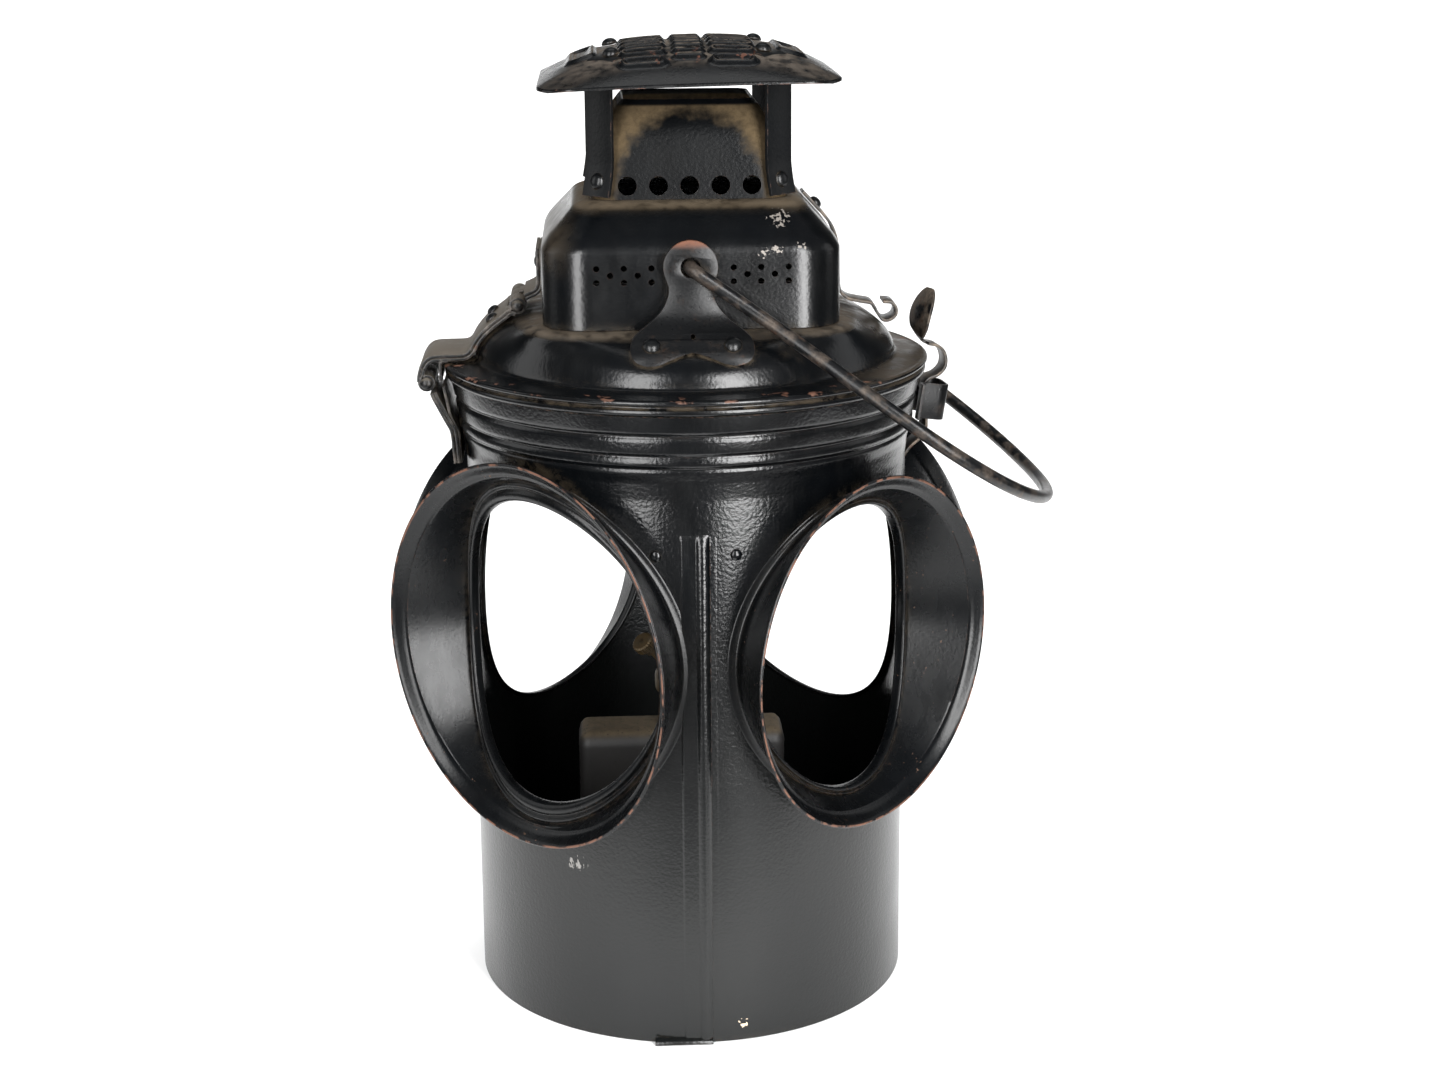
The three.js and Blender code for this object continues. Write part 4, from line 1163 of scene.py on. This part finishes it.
def rain_cap():
    """The pressed cap, dished towards its edge, leaning a little on its legs."""
    steps = 190
    corner = 0.26
    top, under = [], []
    for i in range(steps + 1):
        top_row, under_row = [], []
        for k in range(steps + 1):
            u, v = 2 * i / steps - 1, 2 * k / steps - 1
            share = max(abs(u), abs(v))
            angle = math.atan2(v, u)
            shrink = square_reach(angle, corner) / square_reach(angle, 0)
            x, y = u * CAP_HALF * shrink, v * CAP_HALF * shrink
            soft = math.hypot(x, y) / (CAP_HALF * square_reach(angle, 0.8))
            share = min(soft + (share - soft) * share**2, 1)
            z = CAP_EDGE_Z + cap_rise(share) - 0.9 * (u * v) ** 4
            z += CAP_EMBOSS * (embossing(x, y) - 1) * (1 - share**6)
            top_row.append((x, y, z))
            under_row.append((x, y, z - 1))
        top.append(top_row)
        under.append(under_row)
    points, faces = skin(top, close_rows=False, close_ring=False)
    more, more_faces = skin(under, close_rows=False, close_ring=False)
    width = steps + 1
    offset = width * width
    faces += [tuple(i + offset for i in face[::-1]) for face in more_faces]
    rim = [i * width for i in range(width)]
    rim += [steps * width + k for k in range(1, width)]
    rim += [i * width + steps for i in range(steps - 1, -1, -1)]
    rim += list(range(steps - 1, 0, -1))
    for a, b in zip(rim, rim[1:] + rim[:1]):
        faces.append((a, b, b + offset, a + offset))
    points = leaned(np.vstack([points, more]), 0, CAP_EDGE_Z, CAP_LEAN)
    show("rain_cap", shifted((points, faces)), "ventilator", CAP_PAINT, sharp=70)


def cap_legs():
    """Four bent straps on the diagonals, riveted to the chimney's corners and up to the cap."""
    reach = math.hypot(CAP_RIVET, CAP_RIVET)
    rivet_rise = cap_rise(0.56)
    for end, y_sign in (("front", -1), ("rear", 1)):
        for side, x_sign in (("left", -1), ("right", 1)):
            turn = math.degrees(math.atan2(y_sign, x_sign))
            lean = x_sign * CAP_RIVET * math.tan(math.radians(CAP_LEAN))
            seat = CAP_EDGE_Z + rivet_rise - lean - 3.6
            line = [(50.5, 328.8), (49.0, 335.2), (48.2, 340.4), (48.2, seat - 3.4), (47.2, seat - 1.2)]
            line += [(44.6, seat - 0.2), (reach - 4.5, seat + 0.9)]
            name = f"{end}_{side}"
            leg = shifted(placed(ribbon(rounded(line, 2.2, 4), 14, 1.5, ease=0.3), turn=turn))
            show("cap_leg_" + name, leg, "ventilator", LEG_PAINT, sharp=50)
            foot = placed(rivet(3.1, 1.8), (49.9, 0, 334.6), (1, 0, 0.2))
            foot = shifted(placed(foot, turn=turn))
            show("leg_rivet_" + name, foot, "ventilator", RIVET_PAINT, sharp=60)
            x, y = x_sign * CAP_RIVET, y_sign * CAP_RIVET
            head = placed(rivet(3.1, 2.1), (x, y, CAP_EDGE_Z + rivet_rise - 1.5), (x / 170, y / 170, 1))
            head = shifted((leaned(head[0], 0, CAP_EDGE_Z, CAP_LEAN), head[1]))
            show("cap_rivet_" + name, head, "ventilator", RIVET_PAINT, sharp=60)


def strap_rivets():
    """Two rivets through each hinge strap."""
    for side, y in (("front", -9), ("rear", 9)):
        rivet_on("strap_rivet_" + side, 2.6, 1.6, (-77.3, y, 278.2), (-0.62, 0, 0.78), "lid", RIVET_PAINT)
        place = (VENT_LOW.x - 2.0, y, 300.5)
        rivet_on("vent_strap_rivet_" + side, 2.6, 1.5, place, (-1, 0, 0), "ventilator", RIVET_PAINT)


# ---------- springs ----------
def vent_catch():
    """The spring from the dome's right shoulder down its wall, with a crook over the lid's bulge."""
    line = [
        (47.0, 325.9),
        (51.6, 320.9),
        (55.9, 316.1),
        (59.0, 311.4),
        (60.9, 304.0),
        (61.3, 292.0),
        (62.0, 286.4),
        (65.0, 283.4),
        (70.0, 282.0),
        (74.8, 280.9),
        (77.0, 277.4),
        (79.2, 274.4),
        (82.0, 274.3),
        (84.4, 276.2),
        (84.6, 279.0),
        (82.8, 281.2),
        (79.4, 281.6),
    ]
    shape = ribbon(spline(line, 5), 13, 1.2, ease=0.25)
    show("vent_catch_spring", shape, "vent_catch", SPRING_STEEL, sharp=50)
    head = placed(rivet(2.6, 1.6), (52.6, 0, 321.3), (0.74, 0, 0.67))
    show("vent_catch_rivet", head, "vent_catch", RIVET_PAINT, sharp=60)


def lid_latch():
    """A spring strip up the body, round the rim, ending in an oval thumb leaf with a slight twist."""
    line = [
        (90.1, 203.2),
        (90.1, 213.0),
        (92.4, 217.6),
        (98.4, 223.2),
        (100.0, 227.6),
        (98.9, 240.0),
        (98.6, 243.6),
        (100.6, 246.6),
        (104.6, 248.2),
        (107.4, 251.0),
        (108.0, 254.6),
        (106.8, 258.2),
        (104.2, 260.4),
        (101.0, 261.2),
        (98.9, 262.2),
        (97.9, 264.6),
        (97.4, 268.2),
        (98.0, 272.8),
        (99.9, 278.0),
        (102.6, 283.4),
    ]
    path = spline(line, 5)
    leaf_x = line[-5][0]
    leaf_low, leaf_high = 261.4, line[-1][1]
    leaf = np.clip((path[:, 1] - leaf_low) / (leaf_high - leaf_low), 0, 1)
    oval = LEAF_WIDTH * np.sqrt(np.clip(1 - ((leaf - 0.54) / 0.48) ** 2, 0, 1))
    widths = np.where(leaf > 0, np.maximum(oval, 3.0), 10.0)
    points, faces = ribbon(path, widths, 1.2, ease=0.3)
    twist = math.radians(LEAF_TWIST) * np.clip((points[:, 2] - leaf_low) / 6, 0, 1)
    across = points[:, 0] - leaf_x
    points[:, 0] = leaf_x + across * np.cos(twist) - points[:, 1] * np.sin(twist)
    points[:, 1] = points[:, 1] * np.cos(twist) + across * np.sin(twist)
    shape = placed((points, faces), turn=LATCH_TURN)
    show("lid_latch", shape, "latch", SPRING_STEEL, sharp=50)


def latch_keeper():
    """A strip bent into a loop round the latch, on two flat feet. It leans out with the collar."""
    half = [(14.3, 95), (9.4, 95), (8.3, 96.2), (8.3, 105.2), (6.0, 107.6)]
    line = [(-y, x) for y, x in half] + half[::-1]
    points, faces = ribbon(rounded(line, 1.6, 4), 14.8, 1.0, middle_y=KEEPER_Z, ease=0.25)
    points = leaned(points[:, [2, 0, 1]], 95, KEEPER_Z, COLLAR_SLOPE)
    shape = placed((points, faces), turn=LATCH_TURN)
    show("latch_keeper", shape, "lamp_body", KEEPER_STEEL, sharp=50)


# ---------- fount and burner ----------
def rounded_plate_ring(middle_x, half_x, half_y, corner, z):
    """A level rounded rectangle."""
    corners = [(-half_x, -half_y), (half_x, -half_y), (half_x, half_y), (-half_x, half_y)]
    line = rounded(corners, corner, 6, True)
    return [(middle_x + x, y, z) for x, y in line]


def fount():
    """A flat tin tank with a soldered seam round its top edge."""
    low, high = box_mm("fount")
    middle_x = (low.x + high.x) / 2
    half_x, half_y = (high.x - low.x) / 2, high.y
    top = high.z
    rows = []
    for inset, z in ((0.6, low.z), (0.1, low.z + 0.8), (0.1, top - 7), (0.0, top - 6), (0.1, top - 5)):
        rows.append(rounded_plate_ring(middle_x, half_x - inset, half_y - inset, 5, z))
    for inset, z in ((0.8, top - 2.4), (2.4, top - 0.7), (4.4, top), (10, top)):
        rows.append(rounded_plate_ring(middle_x, half_x - inset, half_y - inset, max(5 - inset, 1), z))
    shape = skin(rows, close_rows=False, caps=True)
    show("fount", shape, "oil_fount", TIN, sharp=50)


def burner():
    """A turned brass burner with a slot for the wick."""
    z = box_mm("burner")[0].z
    profile = [
        (0.2, z),
        (12, z),
        (12, z + 8),
        (9.4, z + 9.5),
        (9.4, z + 13),
        (13.6, z + 14.4),
        (14.2, z + 15.5),
        (14.2, z + 21.8),
        (13.2, z + 23),
        (11.2, z + 24.6),
        (7.6, z + 33),
        (6.2, z + 35.8),
        (0.2, z + 36),
    ]
    body = raw_object("look_burner", turned_solid(rounded(profile, 1.2, 3), 64))
    slot_corners = ((-4.5, -1.7), (4.5, -1.7), (4.5, 1.7), (-4.5, 1.7))
    slot = skin([[(x, y, h) for x, y in slot_corners] for h in (120, 160)], close_rows=False, caps=True)
    boolean(body, "DIFFERENCE", slot)
    dress(body, "oil_fount", BRASS, ["burner"])


def wick_wheel():
    """The knurled knob on its spindle."""
    start, end = np.array((-6.2, -5.2, 126.6)), np.array((-20.0, -17.0, 145.0))
    along = (end - start) / np.linalg.norm(end - start)
    spindle = rod(start, end, 1.3)
    collar = rod(end - along * 8.2, end - along * 4.2, 2.3)
    teeth = 24
    rows = []
    for size, height in ((4.0, 0.0), (4.6, 0.5), (4.6, 3.6), (4.0, 4.2), (1.5, 4.3)):
        ring = []
        for k in range(teeth * 4):
            angle = k * TAU / (teeth * 4)
            bite = 0.22 * math.cos(angle * teeth) * (1 if size > 4.2 else 0.3)
            reach = size + bite - 0.2
            ring.append((reach * math.cos(angle), reach * math.sin(angle), height))
        rows.append(ring)
    knob = placed(skin(rows, close_rows=False, caps=True), end - along * 4.3, along)
    show("wick_wheel", together(spindle, collar, knob), "wick_knob", BRASS)


def wick():
    """The flat wick, from the fount up through the burner's slot."""
    low, high = box_mm("wick")
    path = [(0, z) for z in np.linspace(low.z, high.z, 12)]
    points, faces = ribbon(path, 2 * high.x, 2 * high.y, ease=0.6)
    points = np.stack([points[:, 1], points[:, 0], points[:, 2]], axis=1)
    show("wick", (points, faces), "wick_strip", WICK, sharp=60)


# ---------- stage ----------
def paper_sweep():
    """The paper that the lamp stands on, bent up behind it."""
    size, bend_y, bend_r = 4.0, 1.1, 0.5
    bend = [(bend_y + bend_r * math.sin(a), bend_r * (1 - math.cos(a))) for a in np.linspace(0, TAU / 4, 14)]
    side_view = [(-size, 0.0), *bend, (bend_y + bend_r, size)]
    rows = [[(x, y, z) for x in (-size, size)] for y, z in side_view]
    points, faces = skin(rows, close_rows=False, close_ring=False)
    mesh = bpy.data.meshes.new("floor")
    mesh.from_pydata(points.tolist(), [], faces)
    floor = bpy.data.objects.new("floor", mesh)
    bpy.context.scene.collection.objects.link(floor)
    mesh.materials.append(studio_floor())
    mesh.shade_smooth()


def studio_light():
    """Two tall softboxes in front of the lamp, weak fills beside it, and a dim world."""
    world = bpy.data.worlds.new("studio")
    world.use_nodes = True
    background = world.node_tree.nodes["Background"]
    background.inputs["Color"].default_value = (0.92, 0.95, 1.0, 1.0)
    background.inputs["Strength"].default_value = 0.13
    bpy.context.scene.world = world
    bpy.context.scene.view_settings.view_transform = "Standard"

    area_light("left softbox", (-0.34, -0.68, 0.46), (0, 0, 0.40), (0.24, 0.9), 7.5)
    area_light("right softbox", (0.30, -0.70, 0.46), (0, 0, 0.40), (0.24, 0.9), 13)
    area_light("left fill", (-1.3, 0.1, 0.6), (0, 0, 0.22), (0.6, 1.0), 2.2)
    area_light("right fill", (1.3, 0.1, 0.6), (0, 0, 0.22), (0.6, 1.0), 1.2)
    area_light("paper light", (0, 0.45, 1.7), (0, 0.45, 0), (2.4, 1.6), 66, in_gloss=False)
    area_light("sky softbox", (0, 0.3, 1.5), (0, 0, 0.3), (0.9, 0.6), 1.6)


def area_light(name, place, target, size, watts, in_gloss=True):
    """A soft rectangle of light. Without in_gloss it lights the paper, but no highlight shows it."""
    data = bpy.data.lights.new(name, "AREA")
    data.shape = "RECTANGLE"
    data.size, data.size_y = size
    data.energy = watts
    light = bpy.data.objects.new(name, data)
    light.location = place
    light.visible_glossy = in_gloss
    light.rotation_euler = (Vector(target) - Vector(place)).to_track_quat("-Z", "Y").to_euler()
    bpy.context.scene.collection.objects.link(light)


def camera():
    """The camera stands in front of the lamp and looks a little down on it."""
    data = bpy.data.cameras.new("camera")
    data.lens = 60.08
    data.sensor_width = 36.0
    view = bpy.data.objects.new("camera", data)
    view.location = (-0.0343, -0.9593, 0.4439)
    roll = Quaternion((0, 0, 1), math.radians(-0.38))
    view.rotation_mode = "QUATERNION"
    view.rotation_quaternion = Vector((0.049, 0.9634, -0.2635)).to_track_quat("-Z", "Y") @ roll
    bpy.context.scene.collection.objects.link(view)
    bpy.context.scene.camera = view


def build_lamp():
    body_shell()
    for name, (turn, size) in HOODS.items():
        lens_hood(name, turn, size)
    lock_seam()
    body_rivets()
    floor_plate()
    body_hinge_leaf()
    hinge_pin("lid_hinge_pin", LID_HINGE, "lamp_body")
    latch_keeper()
    lid_shell()
    lid_hinge_strap()
    hinge_pin("vent_hinge_pin", VENT_HINGE, "lid")
    bail_ears()
    bail()
    vent_dome()
    chimney()
    rain_cap()
    cap_legs()
    vent_hinge_strap()
    strap_rivets()
    vent_catch()
    lid_latch()
    fount()
    burner()
    wick_wheel()
    wick()


build_lamp()
paper_sweep()
studio_light()
camera()
